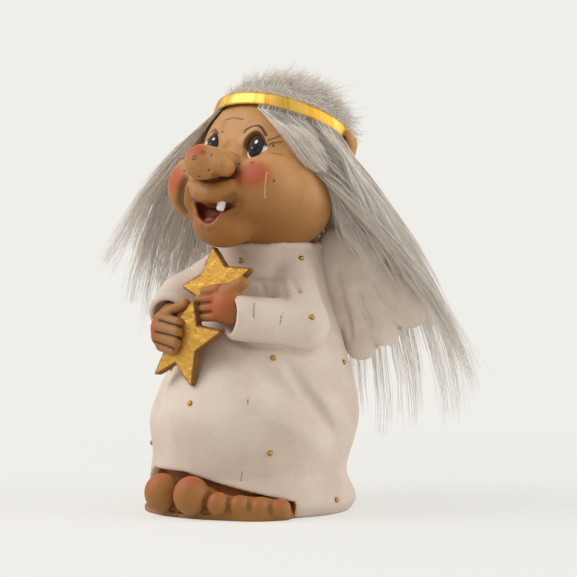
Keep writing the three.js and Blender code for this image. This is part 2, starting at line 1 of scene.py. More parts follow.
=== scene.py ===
# Troll figurine: a moulded and painted angel troll with a fur wig, a foil headband, feathered
# wings and two gilt stars. Every piece is modelled over its CAD node, in the frame's own place.
import json
from functools import reduce

import bpy
import numpy as np
import openvdb
from bpy.props import FloatProperty, FloatVectorProperty, IntProperty, PointerProperty
from mathutils import Matrix, Vector
from mathutils.bvhtree import BVHTree

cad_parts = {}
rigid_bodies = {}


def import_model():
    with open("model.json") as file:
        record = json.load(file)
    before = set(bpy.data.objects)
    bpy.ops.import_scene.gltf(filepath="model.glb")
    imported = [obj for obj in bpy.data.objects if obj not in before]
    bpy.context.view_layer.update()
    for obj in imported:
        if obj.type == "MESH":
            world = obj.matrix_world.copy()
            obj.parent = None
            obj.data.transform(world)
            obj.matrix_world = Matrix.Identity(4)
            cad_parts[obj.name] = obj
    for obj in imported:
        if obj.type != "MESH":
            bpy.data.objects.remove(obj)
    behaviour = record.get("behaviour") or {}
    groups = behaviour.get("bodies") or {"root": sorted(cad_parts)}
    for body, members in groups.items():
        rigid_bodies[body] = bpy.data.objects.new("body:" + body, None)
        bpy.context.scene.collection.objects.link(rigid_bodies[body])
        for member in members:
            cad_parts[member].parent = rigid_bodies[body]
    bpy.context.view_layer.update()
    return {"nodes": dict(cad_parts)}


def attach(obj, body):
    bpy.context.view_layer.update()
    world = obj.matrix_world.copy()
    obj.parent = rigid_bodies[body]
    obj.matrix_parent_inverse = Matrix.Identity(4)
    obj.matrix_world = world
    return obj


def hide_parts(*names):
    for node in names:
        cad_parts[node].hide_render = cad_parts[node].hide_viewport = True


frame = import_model()

bl_info = {
    "name": "Troll figurine",
    "version": (1, 0, 0),
    "blender": (4, 5, 0),
    "location": "3D View > Sidebar > Troll",
    "description": "Models and paints the pieces of a troll figurine over its CAD frame",
    "category": "Object",
}

MM = 0.001

# The figure's sizes in millimetres. It faces -Y, and its left hand is at +X.

ROBE_HEIGHT = 101.0
OUTLINE = ((0, 37), (5, 39.4), (15, 36.6), (38, 39.8), (64, 30.8), (82, 23.4), (101, 19.6))
LEAN, LEAN_FROM, LEAN_TO = 8.5, 25.0, 92.0
FOLD = {"angle": 70, "height": 43, "slope": -33, "length": 24, "width": 4.5, "depth": 2.8}
SWELL_BELOW, SWELL_SHARE = 2.2, 0.45
ARCH_FALL, ARCH_HALF_ANGLE, ARCH_RECESS = 0.155, 67.0, 4.2
SLEEVE_RADII = (8.4, 9.0, 8.2)
LEFT_ARM = ((15, 5, 92), (28.6, -3, 71.5), (15.5, -28.6, 75.0))
RIGHT_ARM = ((-16, 4, 92), (-28, -9, 79), (-22, -23.6, 73.5))

HEAD_CENTRE, HEAD_YAW, HEAD_PITCH = (0, 10.6, 130.5), 9.0, 22.0
SKULL = ((0, 2, 2), (28, 29, 28.5))
JOWL = ((0, -3, -15.5), (29, 24.5, 19.5))
CHEEK = ((14.5, -20, -17), (13.5, 13.5, 13))
CHIN = ((0, -23, -34), (11, 9.5, 7))
BAND_WIDTH, BAND_TILT, BAND_HEIGHT, BAND_PADDING = 5.0, -6.0, 15.0, 2.4

TIPS = (
    (33, 28, 87), (50, 42, 78), (61, 50, 62), (64, 55, 46), (40, 60, 35), (0, 58, 31),
    (-36, 57, 36), (-59, 48, 52), (-66, 25, 67), (-66, 2, 78), (-66, -16, 94),
)
HAIR_FROM, HAIR_TO, NAPE = 13.0, 327.0, 104.0

STAR_THICKNESS, STAR_BLUNT = 3.4, 1.0
UPPER_OUTLINE = (
    (1.1, 15.0), (-4.4, 5.4), (-12.8, 1.4), (-6.5, -3.5), (-7.2, -12.8),
    (0.5, -8.0), (10.5, -12.0), (8.0, -2.5), (17.2, 5.0), (6.7, 7.1),
)
LOWER_OUTLINE = (
    (2.4, 16.4), (-4.5, 6.5), (-14.0, 5.0), (-7.5, -5.2), (-10.2, -14.6),
    (-1.3, -8.2), (8.8, -14.8), (8.0, -1.8), (18.2, 8.0), (6.6, 7.6),
)
UPPER_STAR = {"centre": (3.4, -25.2, 85.5), "yaw": 10, "pitch": 10, "spin": 7}
LOWER_STAR = {"centre": (-3.8, -33.6, 64.9), "yaw": 2, "pitch": 4, "spin": -10}

LEFT_FINGERS = (
    ((9.5, -29, 85.2), (2.6, -29, 84), 1.9),
    ((9, -29.6, 81.9), (1, -29.8, 81), 2.0),
    ((9, -29.8, 78.4), (0.6, -30.4, 77.6), 2.0),
    ((9.6, -29.8, 75), (2, -30.4, 74.6), 1.9),
)
RIGHT_FINGERS = (
    ((-13.9, -35.8, 73.8), (-4.1, -36.2, 72.2), 2.1),
    ((-15.1, -36.2, 70.2), (-3.9, -36.8, 68.6), 2.2),
    ((-15.1, -36.2, 66.4), (-4.5, -36.8, 64.9), 2.1),
    ((-13.7, -35.6, 63.0), (-6.1, -36.4, 61.8), 1.9),
)
TOES = (
    ((7.6, -41.2, 8.8), (6.7, 6.8, 7.3)),
    ((17.4, -37, 6.2), (4.4, 4.6, 4.4)),
    ((24.2, -32.6, 5.8), (3.7, 4, 3.8)),
    ((30, -27.8, 5.3), (3.5, 3.8, 3.6)),
    ((35, -22.2, 4.6), (3.8, 4, 3.6)),
)
FOOT = ((18, -19.5, 1.5), (17.4, 16.5, 8.5))
RIGHT_FOOT_TURN = 12.0

WING_ROOT, WING_BEARING, WING_LEAN, WING_THICKNESS = (12, 27), 28.0, 6.0, 3.6
FEATHERS = (
    ((7, 98), (14, 96), 10, 1.15),
    ((14, 93), (33.2, 75.6), 7.2, 1.0),
    ((10, 92), (23.5, 68.4), 6.8, 0.85),
    ((7, 88), (14.6, 62.4), 6.4, 0.75),
    ((9, 92), (14, 72.4), 5, 1.1),
    ((3.5, 92), (6.5, 73), 6, 0.8),
)
FEATHER_LINES = (
    ((28.0, 75.5), (23.5, 80), (20, 86)),
    ((18.6, 69.5), (15.5, 75), (13.5, 82)),
    ((10.5, 65), (9.5, 73)),
)
STUDS = (
    (13, 95), (76, 95.5), (69, 74.8), (51.5, 59.5), (112.6, 56.5), (4.5, 42.6),
    (53, 24.8), (96.4, 6), (-30, 54), (-48, 25), (-85, 42), (-80, 8), (-72, 95),
    (152, 34), (176, 68), (-150, 50), (-160, 14),
)


# What a user would change


class TrollSizes(bpy.types.PropertyGroup):
    """Sizes of the finish"""

    bead_radius: FloatProperty(
        name="Bead radius", description="Radius of a gilt bead on the robe",
        default=1.0 * MM, unit="LENGTH", precision=5,
    )
    hair_radius: FloatProperty(
        name="Hair radius", description="Radius of one hair at its root",
        default=0.115 * MM, unit="LENGTH", precision=6,
    )
    hair_share: FloatProperty(
        name="Hair share", description="Share of the wig's hairs that are made",
        default=1.0, min=0.05, max=1.0, subtype="FACTOR",
    )
    foil_ribs: IntProperty(
        name="Foil ribs", description="Fine cross ribs round the headband", default=420,
    )
    crack_depth: FloatProperty(
        name="Brush depth", description="Height of the brush marks in the robe's paint",
        default=0.12 * MM, unit="LENGTH", precision=6,
    )


def scaled(colour, share):
    """A colour made darker or lighter."""
    return tuple(min(1.0, share * part) for part in colour)


def colour_property(name, description, red, green, blue):
    """A colour that a user can change, with its first value."""
    return FloatVectorProperty(
        name=name, description=description, default=(red, green, blue),
        subtype="COLOR", size=3, min=0.0, max=1.0,
    )


class TrollColours(bpy.types.PropertyGroup):
    """Paint and fibre colours, linear"""

    skin: colour_property("Skin", "Tan paint of face, hands and feet", 0.54, 0.270, 0.092)
    # The wash colour is also painted shade: in the skin's hollows, creases and lids, between the
    # fingers and on the feet under the robe
    wash: colour_property("Wash", "Brown wash in the skin's hollows", 0.13, 0.050, 0.011)
    blush: colour_property("Blush", "Red paint on cheeks, knuckles and toes", 0.41, 0.074, 0.018)
    mouth: colour_property("Mouth", "Dark red inside the mouth", 0.21, 0.032, 0.010)
    robe: colour_property("Robe", "Warm white paint of the robe", 0.70, 0.585, 0.495)
    # The robe's wash colour also paints shade in the robe's creases and between the wing's feathers
    robe_wash_and_shade: colour_property("Robe wash", "Thin wash in the robe's creases", 0.36, 0.23, 0.155)
    wing: colour_property("Wing", "White paint of the wings", 0.84, 0.74, 0.645)
    gilt: colour_property("Gilt", "Gold paint of the stars and beads", 0.55, 0.30, 0.050)
    gilt_wash: colour_property("Gilt wash", "Brown wash along the stars' edges", 0.13, 0.045, 0.008)
    foil: colour_property("Foil", "Metallised ribbon of the headband", 0.52, 0.25, 0.026)
    hair: colour_property("Hair", "Pale grey hair", 0.88, 0.80, 0.71)
    hair_dark: colour_property("Dark hair", "The darker hairs and the roots", 0.24, 0.19, 0.145)
    iris: colour_property("Iris", "Dark grey paint of the iris", 0.022, 0.021, 0.024)
    background: colour_property("Background", "Pale floor and backdrop", 0.871, 0.855, 0.815)


class TrollStudio(bpy.types.PropertyGroup):
    """The studio"""

    key: FloatProperty(name="Key", description="Key softbox", default=0.52, unit="POWER")
    fill: FloatProperty(name="Fill", description="Fill softbox", default=0.55, unit="POWER")
    room: FloatProperty(name="Room", description="Light of the white room", default=0.56)


# Clay: a grid of distances to a form's surface, in millimetres, with the meshing of it

FAR = 30.0
MARGIN = 4.0
VIEW_WAY = (-0.681, 0.730, -0.052)  # the way that the camera looks
GRID_STEPS = {
    "robe": 0.66, "head": 0.50, "eye": 0.3, "tooth": 0.16, "hand": 0.30,
    "star": 0.26, "foot": 0.34, "wing": 0.40, "cap": 0.7,
}


def smooth_step(value, low, high):
    """From 0 at low to 1 at high, smoothly."""
    share = np.clip((value - low) / (high - low), 0.0, 1.0)
    return share * share * (3 - 2 * share)


def soft_min(a, b, width):
    """The lesser of two distances, with the seam rounded over a width."""
    if width <= 0:
        return np.minimum(a, b)
    near = np.maximum(width - np.abs(a - b), 0) / width
    return np.minimum(a, b) - near * near * width / 4


class Egg:
    """An ellipsoid."""

    def __init__(self, centre, radii):
        self.centre = np.array(centre, float)
        self.radii = np.array(radii, float)
        self.low, self.high = self.centre - self.radii, self.centre + self.radii

    def __call__(self, x, y, z):
        x, y, z = x - self.centre[0], y - self.centre[1], z - self.centre[2]
        a, b, c = self.radii
        outer = np.sqrt((x / a) ** 2 + (y / b) ** 2 + (z / c) ** 2)
        slope = np.sqrt((x / a**2) ** 2 + (y / b**2) ** 2 + (z / c**2) ** 2)
        return outer * (outer - 1) / np.maximum(slope, 1e-6)


class Rod:
    """A round rod between two points, with a radius at each."""

    def __init__(self, start, end, radius, end_radius=None):
        self.start, self.end = np.array(start, float), np.array(end, float)
        self.radius = radius
        self.end_radius = radius if end_radius is None else end_radius
        reach = max(self.radius, self.end_radius)
        self.low = np.minimum(self.start, self.end) - reach
        self.high = np.maximum(self.start, self.end) + reach

    def __call__(self, x, y, z):
        axis = self.end - self.start
        x, y, z = x - self.start[0], y - self.start[1], z - self.start[2]
        along = (x * axis[0] + y * axis[1] + z * axis[2]) / max(axis @ axis, 1e-9)
        along = np.clip(along, 0, 1)
        off = (x - along * axis[0]) ** 2 + (y - along * axis[1]) ** 2 + (z - along * axis[2]) ** 2
        return np.sqrt(off) - (self.radius + along * (self.end_radius - self.radius))


def chain(points, radii):
    """Rods through the points, with a radius at each of them."""
    if np.isscalar(radii):
        radii = [radii] * len(points)
    return [
        Rod(points[i], points[i + 1], radii[i], radii[i + 1]) for i in range(len(points) - 1)
    ]


def polygon_distance(x, y, corners):
    """The signed distance to a closed outline, below zero inside it."""
    corners = np.array(corners, float)
    nearest_off = np.full(np.broadcast(x, y).shape, 1e9)
    inside = np.zeros(nearest_off.shape, bool)
    for start, end in zip(corners, np.roll(corners, -1, axis=0)):
        edge = end - start
        dx, dy = x - start[0], y - start[1]
        along = np.clip((dx * edge[0] + dy * edge[1]) / (edge @ edge), 0, 1)
        nearest_off = np.minimum(nearest_off, np.hypot(dx - along * edge[0], dy - along * edge[1]))
        crosses = (start[1] > y) != (end[1] > y)
        level = np.where(edge[1] == 0, 1e-9, edge[1])
        at = start[0] + (y - start[1]) * edge[0] / level
        inside ^= crosses & (x < at)
    return np.where(inside, -nearest_off, nearest_off)


def between(table, base, share):
    """Values of a table, mixed by shares from the eight that start at each base."""
    total = np.zeros(share.shape[:-1])
    for corner in range(8):
        step = np.array([(corner >> k) & 1 for k in range(3)])
        weight = np.prod(np.where(step, share, 1 - share), axis=-1)
        i, j, k = np.moveaxis((base + step) % table.shape, -1, 0)
        total += weight * table[i, j, k]
    return total


class Clay:
    """Distances to a surface at the points of a grid, below zero inside the surface."""

    def __init__(self, low, high, step):
        self.low = np.array(low, float)
        self.step = step
        counts = np.ceil((np.array(high) - self.low) / step).astype(int) + 1
        self.axes = [
            (self.low[k] + step * np.arange(counts[k])).astype(np.float32) for k in range(3)
        ]
        self.value = np.full(counts, FAR, np.float32)

    def blank(self):
        """Empty clay on the same grid."""
        other = Clay(self.low, self.low, self.step)
        other.axes = self.axes
        other.value = np.full_like(self.value, FAR)
        return other

    def places(self):
        """The grid's x, y and z, shaped to spread over the whole of it."""
        x, y, z = (axis.astype(float) for axis in self.axes)
        return x[:, None, None], y[None, :, None], z[None, None, :]

    def window(self, form, margin):
        """The part of the grid that a form can change, and its x, y and z."""
        bounds = []
        for k in range(3):
            first = int((form.low[k] - margin - self.low[k]) / self.step)
            last = int((form.high[k] + margin - self.low[k]) / self.step) + 2
            bounds.append(slice(max(first, 0), max(last, 0)))
        x = self.axes[0][bounds[0]][:, None, None]
        y = self.axes[1][bounds[1]][None, :, None]
        z = self.axes[2][bounds[2]][None, None, :]
        return tuple(bounds), (x, y, z)

    def add(self, form, blend=0.0):
        """Joins a form to the clay, with the seam rounded."""
        where, place = self.window(form, blend + MARGIN)
        self.value[where] = soft_min(self.value[where], form(*place), blend)

    def cut(self, form, blend=0.0):
        """Takes a form out of the clay, with the edge rounded."""
        where, place = self.window(form, blend + MARGIN)
        self.value[where] = -soft_min(-self.value[where], form(*place), blend)

    def press(self, forms, depth, width):
        """Presses soft channels along the forms, or raises ridges where depth is negative."""
        for form in forms:
            where, place = self.window(form, 3 * width)
            off = np.maximum(form(*place), 0) / width
            self.value[where] += depth * np.exp(-off * off)

    def sample(self, points):
        """The distance at some points, read between the grid's own."""
        index = (points - self.low) / self.step
        base = np.clip(index.astype(int), 0, np.array(self.value.shape) - 2)
        return between(self.value, base, np.clip(index - base, 0, 1))

    def skin(self):
        """Points and four-sided faces of the clay's surface, in millimetres."""
        grid = openvdb.FloatGrid(background=3.0)
        grid.copyFromArray(np.clip(self.value / self.step, -3, 3))
        points, quads = grid.convertToQuads(isovalue=0.0)
        return points * self.step + self.low, quads

    def hollow(self, points, quads, *looks):
        """How deep in hollows each point lies, summed over looks of a share and a reach."""
        normals = normals_of(points, quads)
        return sum(
            share * np.clip(1 - self.sample(points + normals * reach) / reach, 0, 1)
            for share, reach in looks
        )


def seated(clay, points, inwards, reach, step=0.15):
    """The points moved along a direction to where the clay is first met, from reach outside."""
    inwards = np.array(inwards, float) / np.linalg.norm(inwards)
    points = np.array(points, float)
    found = np.zeros(len(points))
    for off in np.arange(reach, -reach, -step):
        inside = clay.sample(points + inwards * off) < 0
        found = np.where(inside, off, found)
    return points + inwards * found[:, None]


def normals_of(points, quads):
    """The surface's outward direction at each point."""
    across = np.cross(
        points[quads[:, 2]] - points[quads[:, 0]], points[quads[:, 3]] - points[quads[:, 1]]
    )
    total = np.zeros_like(points)
    for corner in range(4):
        np.add.at(total, quads[:, corner], across)
    return total / np.maximum(np.linalg.norm(total, axis=1, keepdims=True), 1e-9)


def grid_faces(numbers):
    """Four-sided faces between the rows and columns of a grid of point numbers."""
    corners = (numbers[:-1, :-1], numbers[:-1, 1:], numbers[1:, 1:], numbers[1:, :-1])
    return np.stack(corners, -1).reshape(-1, 4)


def keep_values(mesh, marks):
    """Keeps values on the points of a mesh, for its paint to read."""
    for key, values in marks.items():
        layer = mesh.attributes.new(key, "FLOAT", "POINT")
        layer.data.foreach_set("value", np.asarray(values, np.float32).ravel())


def mesh_piece(name, points, faces, material, marks=None, smooth=True):
    """A new object from points in millimetres, with values kept on its points."""
    mesh = bpy.data.meshes.new(name)
    mesh.vertices.add(len(points))
    mesh.vertices.foreach_set("co", (np.asarray(points) * MM).astype(np.float32).ravel())
    faces = np.asarray(faces)
    corners = faces.shape[1]
    mesh.loops.add(faces.size)
    mesh.loops.foreach_set("vertex_index", faces.astype(np.int32).ravel())
    mesh.polygons.add(len(faces))
    starts = np.arange(0, faces.size, corners, dtype=np.int32)
    mesh.polygons.foreach_set("loop_start", starts)
    mesh.update(calc_edges=True)
    mesh.validate()
    if smooth:
        mesh.shade_smooth()
    keep_values(mesh, marks or {})
    mesh.materials.append(material)
    piece = bpy.data.objects.new(name, mesh)
    bpy.context.scene.collection.objects.link(piece)
    return piece


def finish_piece(piece, slot, *nodes):
    """Puts a piece on the figure's body, in place of its CAD nodes."""
    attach(piece, "root")
    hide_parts(*nodes)


def turned(axis, degrees):
    """The matrix of a turn about an axis."""
    return np.array(Matrix.Rotation(np.radians(degrees), 3, axis))


def value_noise(points, scale, seed):
    """Smooth noise from -1 to 1 at points, with bumps about scale wide."""
    table = np.random.default_rng(seed).uniform(-1, 1, (32, 32, 32))
    place = np.asarray(points) / scale + 1000
    base = np.floor(place).astype(int)
    share = place - base
    return between(table, base, share * share * (3 - 2 * share))


# Shader maths


class Socket:
    """An output socket whose sums and products add nodes to its tree."""

    def __init__(self, paint, socket):
        self.paint = paint
        self.socket = socket

    def maths(self, operation, *others):
        """What an operation makes of this socket and the others."""
        values = dict(enumerate((self, *others)))
        return self.paint.node("ShaderNodeMath", {"operation": operation}, values)

    def __add__(self, other):
        return self.maths("ADD", other)

    def __sub__(self, other):
        return self.maths("SUBTRACT", other)

    def __mul__(self, other):
        return self.maths("MULTIPLY", other)

    def __truediv__(self, other):
        return self.maths("DIVIDE", other)

    def __pow__(self, other):
        return self.maths("POWER", other)

    def __rsub__(self, other):
        return self.paint.node("ShaderNodeMath", {"operation": "SUBTRACT"}, {0: other, 1: self})

    __radd__ = __add__
    __rmul__ = __mul__

    def least(self, other):
        """The lesser of this and the other."""
        return self.maths("MINIMUM", other)

    def most(self, other):
        """The greater of this and the other."""
        return self.maths("MAXIMUM", other)

    def step(self, low, high):
        """From 0 at low to 1 at high, smoothly."""
        settings = {"interpolation_type": "SMOOTHSTEP"}
        values = {"Value": self, "From Min": low, "From Max": high}
        return self.paint.node("ShaderNodeMapRange", settings, values)


class Paint:
    """The nodes that a paint is mixed from, in a new material or in the world."""

    def __init__(self, name, world=None):
        self.material = world or bpy.data.materials.new(name)
        self.material.use_nodes = True
        self.tree = self.material.node_tree
        self.tree.nodes.clear()

    def node(self, kind, settings=None, values=None, output=0):
        """A new node's output, or the node itself where it has none."""
        made = self.tree.nodes.new(kind)
        for key, value in (settings or {}).items():
            setattr(made, key, value)
        for key, value in (values or {}).items():
            self.feed(made.inputs[key], value)
        return Socket(self, made.outputs[output]) if len(made.outputs) else made

    def feed(self, socket, value):
        """Gives an input a value, or a link from a socket."""
        if isinstance(value, Socket):
            self.tree.links.new(value.socket, socket)
        else:
            socket.default_value = value

    def place(self):
        """Object coordinates in millimetres."""
        place = self.node("ShaderNodeTexCoord", output=3)
        return self.vector("SCALE", place, scale=1 / MM)

    def vector(self, operation, first, second=None, scale=None, output=0):
        """What a vector operation makes of its inputs."""
        values = {0: first}
        if second is not None:
            values[1] = second
        if scale is not None:
            values["Scale"] = scale
        return self.node("ShaderNodeVectorMath", {"operation": operation}, values, output)

    def mix(self, share, first, second):
        """Two colours mixed by a share."""
        mixed = self.tree.nodes.new("ShaderNodeMix")
        mixed.data_type = "RGBA"
        self.feed(mixed.inputs[0], share)
        for index, colour in ((6, first), (7, second)):
            plain = not isinstance(colour, Socket)
            self.feed(mixed.inputs[index], (*colour[:3], 1.0) if plain else colour)
        return Socket(self, mixed.outputs[2])

    def value_of(self, name):
        """A value kept on the points of the mesh."""
        return self.node("ShaderNodeAttribute", {"attribute_name": name}, output=2)

    def noise(self, place, scale, detail=3.0, roughness=0.55, stretch=None):
        """Noise from 0 to 1 with bumps about 1 / scale millimetres wide."""
        if stretch is not None:
            place = self.vector("MULTIPLY", place, stretch)
        values = {"Vector": place, "Scale": scale, "Detail": detail, "Roughness": roughness}
        return self.node("ShaderNodeTexNoise", {}, values)

    def from_point(self, place, point, stretch=None):
        """The distance to a point, with an optional stretch along each axis."""
        off = self.vector("SUBTRACT", place, tuple(point))
        if stretch is not None:
            off = self.vector("MULTIPLY", off, stretch)
        return self.vector("LENGTH", off, output=1)

    def from_line(self, place, start, end):
        """The distance to a straight stroke."""
        axis = np.array(end, float) - np.array(start, float)
        off = self.vector("SUBTRACT", place, tuple(start))
        along = self.vector("DOT_PRODUCT", off, tuple(axis / (axis @ axis)), output=1)
        along = along.most(0.0).least(1.0)
        on_line = self.vector("SCALE", tuple(axis), scale=along)
        return self.vector("DISTANCE", off, on_line, output=1)

    def from_stroke(self, place, points):
        """The distance to a stroke with bends at its points."""
        ends = zip(points, points[1:])
        return reduce(Socket.least, (self.from_line(place, start, end) for start, end in ends))

    def bump(self, height, strength, distance):
        """Normals tipped by a height."""
        values = {"Height": height, "Strength": strength, "Distance": distance}
        return self.node("ShaderNodeBump", {}, values)

    def finish(self, colour, roughness, normal=None, metallic=0.0, specular=0.5):
        """The material, with a surface of these values and sockets."""
        values = {
            "Base Color": colour, "Roughness": roughness, "Metallic": metallic,
            "Specular IOR Level": specular,
        }
        if normal:
            values["Normal"] = normal
        surface = self.node("ShaderNodeBsdfPrincipled", {}, values)
        self.node("ShaderNodeOutputMaterial", {}, {"Surface": surface})
        return self.material


def new_paint(name):
    """A new paint, the places on its piece in millimetres, and the user's colours."""
    paint = Paint(name)
    return paint, paint.place(), bpy.context.scene.troll_colours


# The head's own frame and the headband's

HEAD_TURN = turned("Z", HEAD_YAW) @ turned("X", -HEAD_PITCH)
BAND_TURN = turned("X", BAND_TILT)


def from_head(points):
    """Points of the head's frame in the figure's."""
    return np.asarray(points, float) @ HEAD_TURN.T + np.array(HEAD_CENTRE)


def to_head(points):
    """Points of the figure's frame in the head's."""
    return (np.asarray(points, float) - np.array(HEAD_CENTRE)) @ HEAD_TURN


def band_to_head(points):
    """Points of the band's frame in the head's."""
    return np.asarray(points, float) @ BAND_TURN.T + np.array([0, 0, BAND_HEIGHT])


def skull_distance(points):
    """The distance to the skull and the jowls, at points in the head's frame."""
    x, y, z = np.moveaxis(np.asarray(points, float), -1, 0)
    return soft_min(Egg(*SKULL)(x, y, z), Egg(*JOWL)(x, y, z), 5.0)


def on_skull(angles, height, out):
    """Points in the band's frame at angles in degrees, so far above its line and off the skin."""
    turn = np.radians(np.asarray(angles, float))
    height = np.broadcast_to(height, turn.shape)
    ray = np.stack([np.sin(turn), -np.cos(turn), np.zeros_like(turn)], -1)
    start = np.stack([np.zeros_like(turn), np.full_like(turn, SKULL[0][1]), height], -1)
    near, far = np.zeros_like(turn), np.full_like(turn, 60.0)
    for _ in range(24):
        middle = (near + far) / 2
        outside = skull_distance(band_to_head(start + ray * middle[..., None])) > 0
        far = np.where(outside, middle, far)
        near = np.where(outside, near, middle)
    return start + ray * (near + out)[..., None]


def mirrored(one):
    """A form's centre and radii on the figure's other side."""
    (x, y, z), *rest = one
    return ((-x, y, z), *rest)


# The robe's outline


def outline_radius(height):
    """Radius against height: a smooth curve through the outline's points."""
    levels, radii = np.array(OUTLINE, float).T
    last = len(levels) - 1
    height = np.asarray(height, float)
    i = np.clip(np.searchsorted(levels, height, side="right") - 1, 0, last - 1)
    slopes = np.array([
        (radii[min(last, k + 1)] - radii[max(0, k - 1)])
        / (levels[min(last, k + 1)] - levels[max(0, k - 1)])
        for k in range(last + 1)
    ])
    span = levels[i + 1] - levels[i]
    t = np.clip((height - levels[i]) / span, 0, 1)
    rise = t * t * (3 - 2 * t)
    out = t * (1 - t) ** 2 * span * slopes[i]
    back = t * t * (t - 1) * span * slopes[i + 1]
    return radii[i] + (radii[i + 1] - radii[i]) * rise + out + back


def lean_at(height):
    """How far the robe's middle lies back at a height."""
    return LEAN * smooth_step(height, LEAN_FROM, LEAN_TO)


def fold_depth(angle, height):
    """The depth of the skirt's long fold, with the swell beside it."""
    across = np.radians(angle - FOLD["angle"]) * OUTLINE[3][1]
    up = height - FOLD["height"]
    slope = np.radians(FOLD["slope"])
    along = across * np.cos(slope) + up * np.sin(slope)
    off = up * np.cos(slope) - across * np.sin(slope)
    fade = np.exp(-((along / FOLD["length"]) ** 4))
    valley = np.exp(-((off / FOLD["width"]) ** 2))
    swell = np.exp(-((off / FOLD["width"] + SWELL_BELOW) ** 2))
    return FOLD["depth"] * fade * (valley - SWELL_SHARE * swell)


# Stage

CAMERA_AZIMUTH, CAMERA_ELEVATION, CAMERA_DISTANCE = 43.0, 3.0, 1300.0
CAMERA_TARGET = (9.87, 9.2, 83.9)
PIXEL, PHOTO_WIDTH = 0.38, 577
FLOOR_RINGS, FLOOR_SIDES, FLOOR_MIDDLE, FLOOR_LEVEL = (60, 150, 400, 1200, 4000), 64, 10, -0.05
KEY_PLACE = (-42, 42, 0.9, 0.6)  # azimuth, elevation, distance and size
FILL_PLACE = (122, 22, 1.1, 0.8)
WATTS = 10


def way_to(azimuth, elevation):
    """The way from the figure to something at an azimuth from its front, and so high up."""
    azimuth, elevation = np.radians(azimuth), np.radians(elevation)
    return np.array([
        np.sin(azimuth) * np.cos(elevation),
        -np.cos(azimuth) * np.cos(elevation),
        np.sin(elevation),
    ])


def make_camera():
    """The far camera, almost level, that looks at the figure from its left."""
    back = way_to(CAMERA_AZIMUTH, CAMERA_ELEVATION)
    right = way_to(CAMERA_AZIMUTH + 90, 0)
    data = bpy.data.cameras.new("camera")
    data.sensor_width = 36.0
    data.lens = data.sensor_width * CAMERA_DISTANCE / (PIXEL * PHOTO_WIDTH)
    data.clip_start, data.clip_end = 0.05, 50.0
    camera = bpy.data.objects.new("camera", data)
    place = Matrix.Identity(4)
    for column, axis in enumerate((right, np.cross(back, right), back)):
        for row in range(3):
            place[row][column] = axis[row]
    centre = (np.array(CAMERA_TARGET) + back * CAMERA_DISTANCE) * MM
    place.translation = Vector(centre)
    camera.matrix_world = place
    bpy.context.scene.collection.objects.link(camera)
    bpy.context.scene.camera = camera


def seen(paint):
    """1 for a ray that looks at the stage, or at a reflection of it."""
    kinds = ("Is Camera Ray", "Is Glossy Ray", "Is Transmission Ray")
    made = paint.tree.nodes.new("ShaderNodeLightPath")
    camera, glossy, through = (Socket(paint, made.outputs[kind]) for kind in kinds)
    return camera.most(glossy).most(through)


def stage_paint(background):
    """A plain backdrop that still takes the figure's shade near its feet."""
    paint = Paint("stage_paint")
    off = paint.from_point(paint.place(), (0, 10, 0), (1, 1, 0))
    near = 1 - off.step(60.0, 420.0)
    share = 1 - seen(paint) * (1 - near * 0.30)
    lit = paint.node("ShaderNodeBsdfDiffuse", {}, {"Color": (0.80, 0.79, 0.76, 1)})
    plain = paint.node("ShaderNodeEmission", {}, {"Color": (*background, 1), "Strength": 1.0})
    mixed = paint.node("ShaderNodeMixShader", {}, {0: share, 1: plain, 2: lit})
    paint.node("ShaderNodeOutputMaterial", {}, {"Surface": mixed})
    return paint.material


def make_floor(background):
    """A wide round floor."""
    turns = np.linspace(0, 2 * np.pi, FLOOR_SIDES, endpoint=False)
    points = [
        (radius * np.cos(turn), radius * np.sin(turn) + FLOOR_MIDDLE, FLOOR_LEVEL)
        for radius in FLOOR_RINGS for turn in turns
    ]
    numbers = np.arange(len(points)).reshape(-1, FLOOR_SIDES)
    middle = [
        (k, k + 1, (k + 2) % FLOOR_SIDES, len(points)) for k in range(0, FLOOR_SIDES, 2)
    ]
    points.append((0, FLOOR_MIDDLE, FLOOR_LEVEL))
    faces = np.vstack([grid_faces(np.pad(numbers, ((0, 0), (0, 1)), "wrap").T), middle])
    floor = mesh_piece("floor", points, faces, stage_paint(background), smooth=False)


def light_panel(name, azimuth, elevation, distance, size, power):
    """A square softbox that faces the figure."""
    away = Vector(way_to(azimuth, elevation))
    data = bpy.data.lights.new(name, "AREA")
    data.shape = "SQUARE"
    data.size = size
    data.energy = power
    panel = bpy.data.objects.new(name, data)
    panel.rotation_euler = away.to_track_quat("Z", "Y").to_euler()
    panel.location = Vector((0, 0, 0.08)) + away * distance
    bpy.context.scene.collection.objects.link(panel)


def light_world(background, room):
    """A white room round the figure, seen as the plain backdrop."""
    world = bpy.data.worlds.new("white_room")
    bpy.context.scene.world = world
    paint = Paint("white_room", world)
    plain = paint.node("ShaderNodeBackground", {}, {"Color": (*background, 1), "Strength": 1.0})
    glow = paint.node("ShaderNodeBackground", {}, {"Color": (1, 0.985, 0.96, 1), "Strength": room})
    mixed = paint.node("ShaderNodeMixShader", {}, {0: seen(paint), 1: glow, 2: plain})
    paint.node("ShaderNodeOutputWorld", {}, {"Surface": mixed})


class TROLL_OT_stage(bpy.types.Operator):
    """Makes the floor, the softboxes, the white room and the camera"""

    bl_idname = "troll.stage"
    bl_label = "Stage"

    def execute(self, context):
        scene = context.scene
        background = tuple(scene.troll_colours.background)
        studio = scene.troll_studio
        make_camera()
        make_floor(background)
        light_panel("key", *KEY_PLACE, studio.key * WATTS)
        light_panel("fill", *FILL_PLACE, studio.fill * WATTS)
        light_world(background, studio.room)
        scene.view_settings.view_transform = "Standard"
        return {"FINISHED"}


# Robe

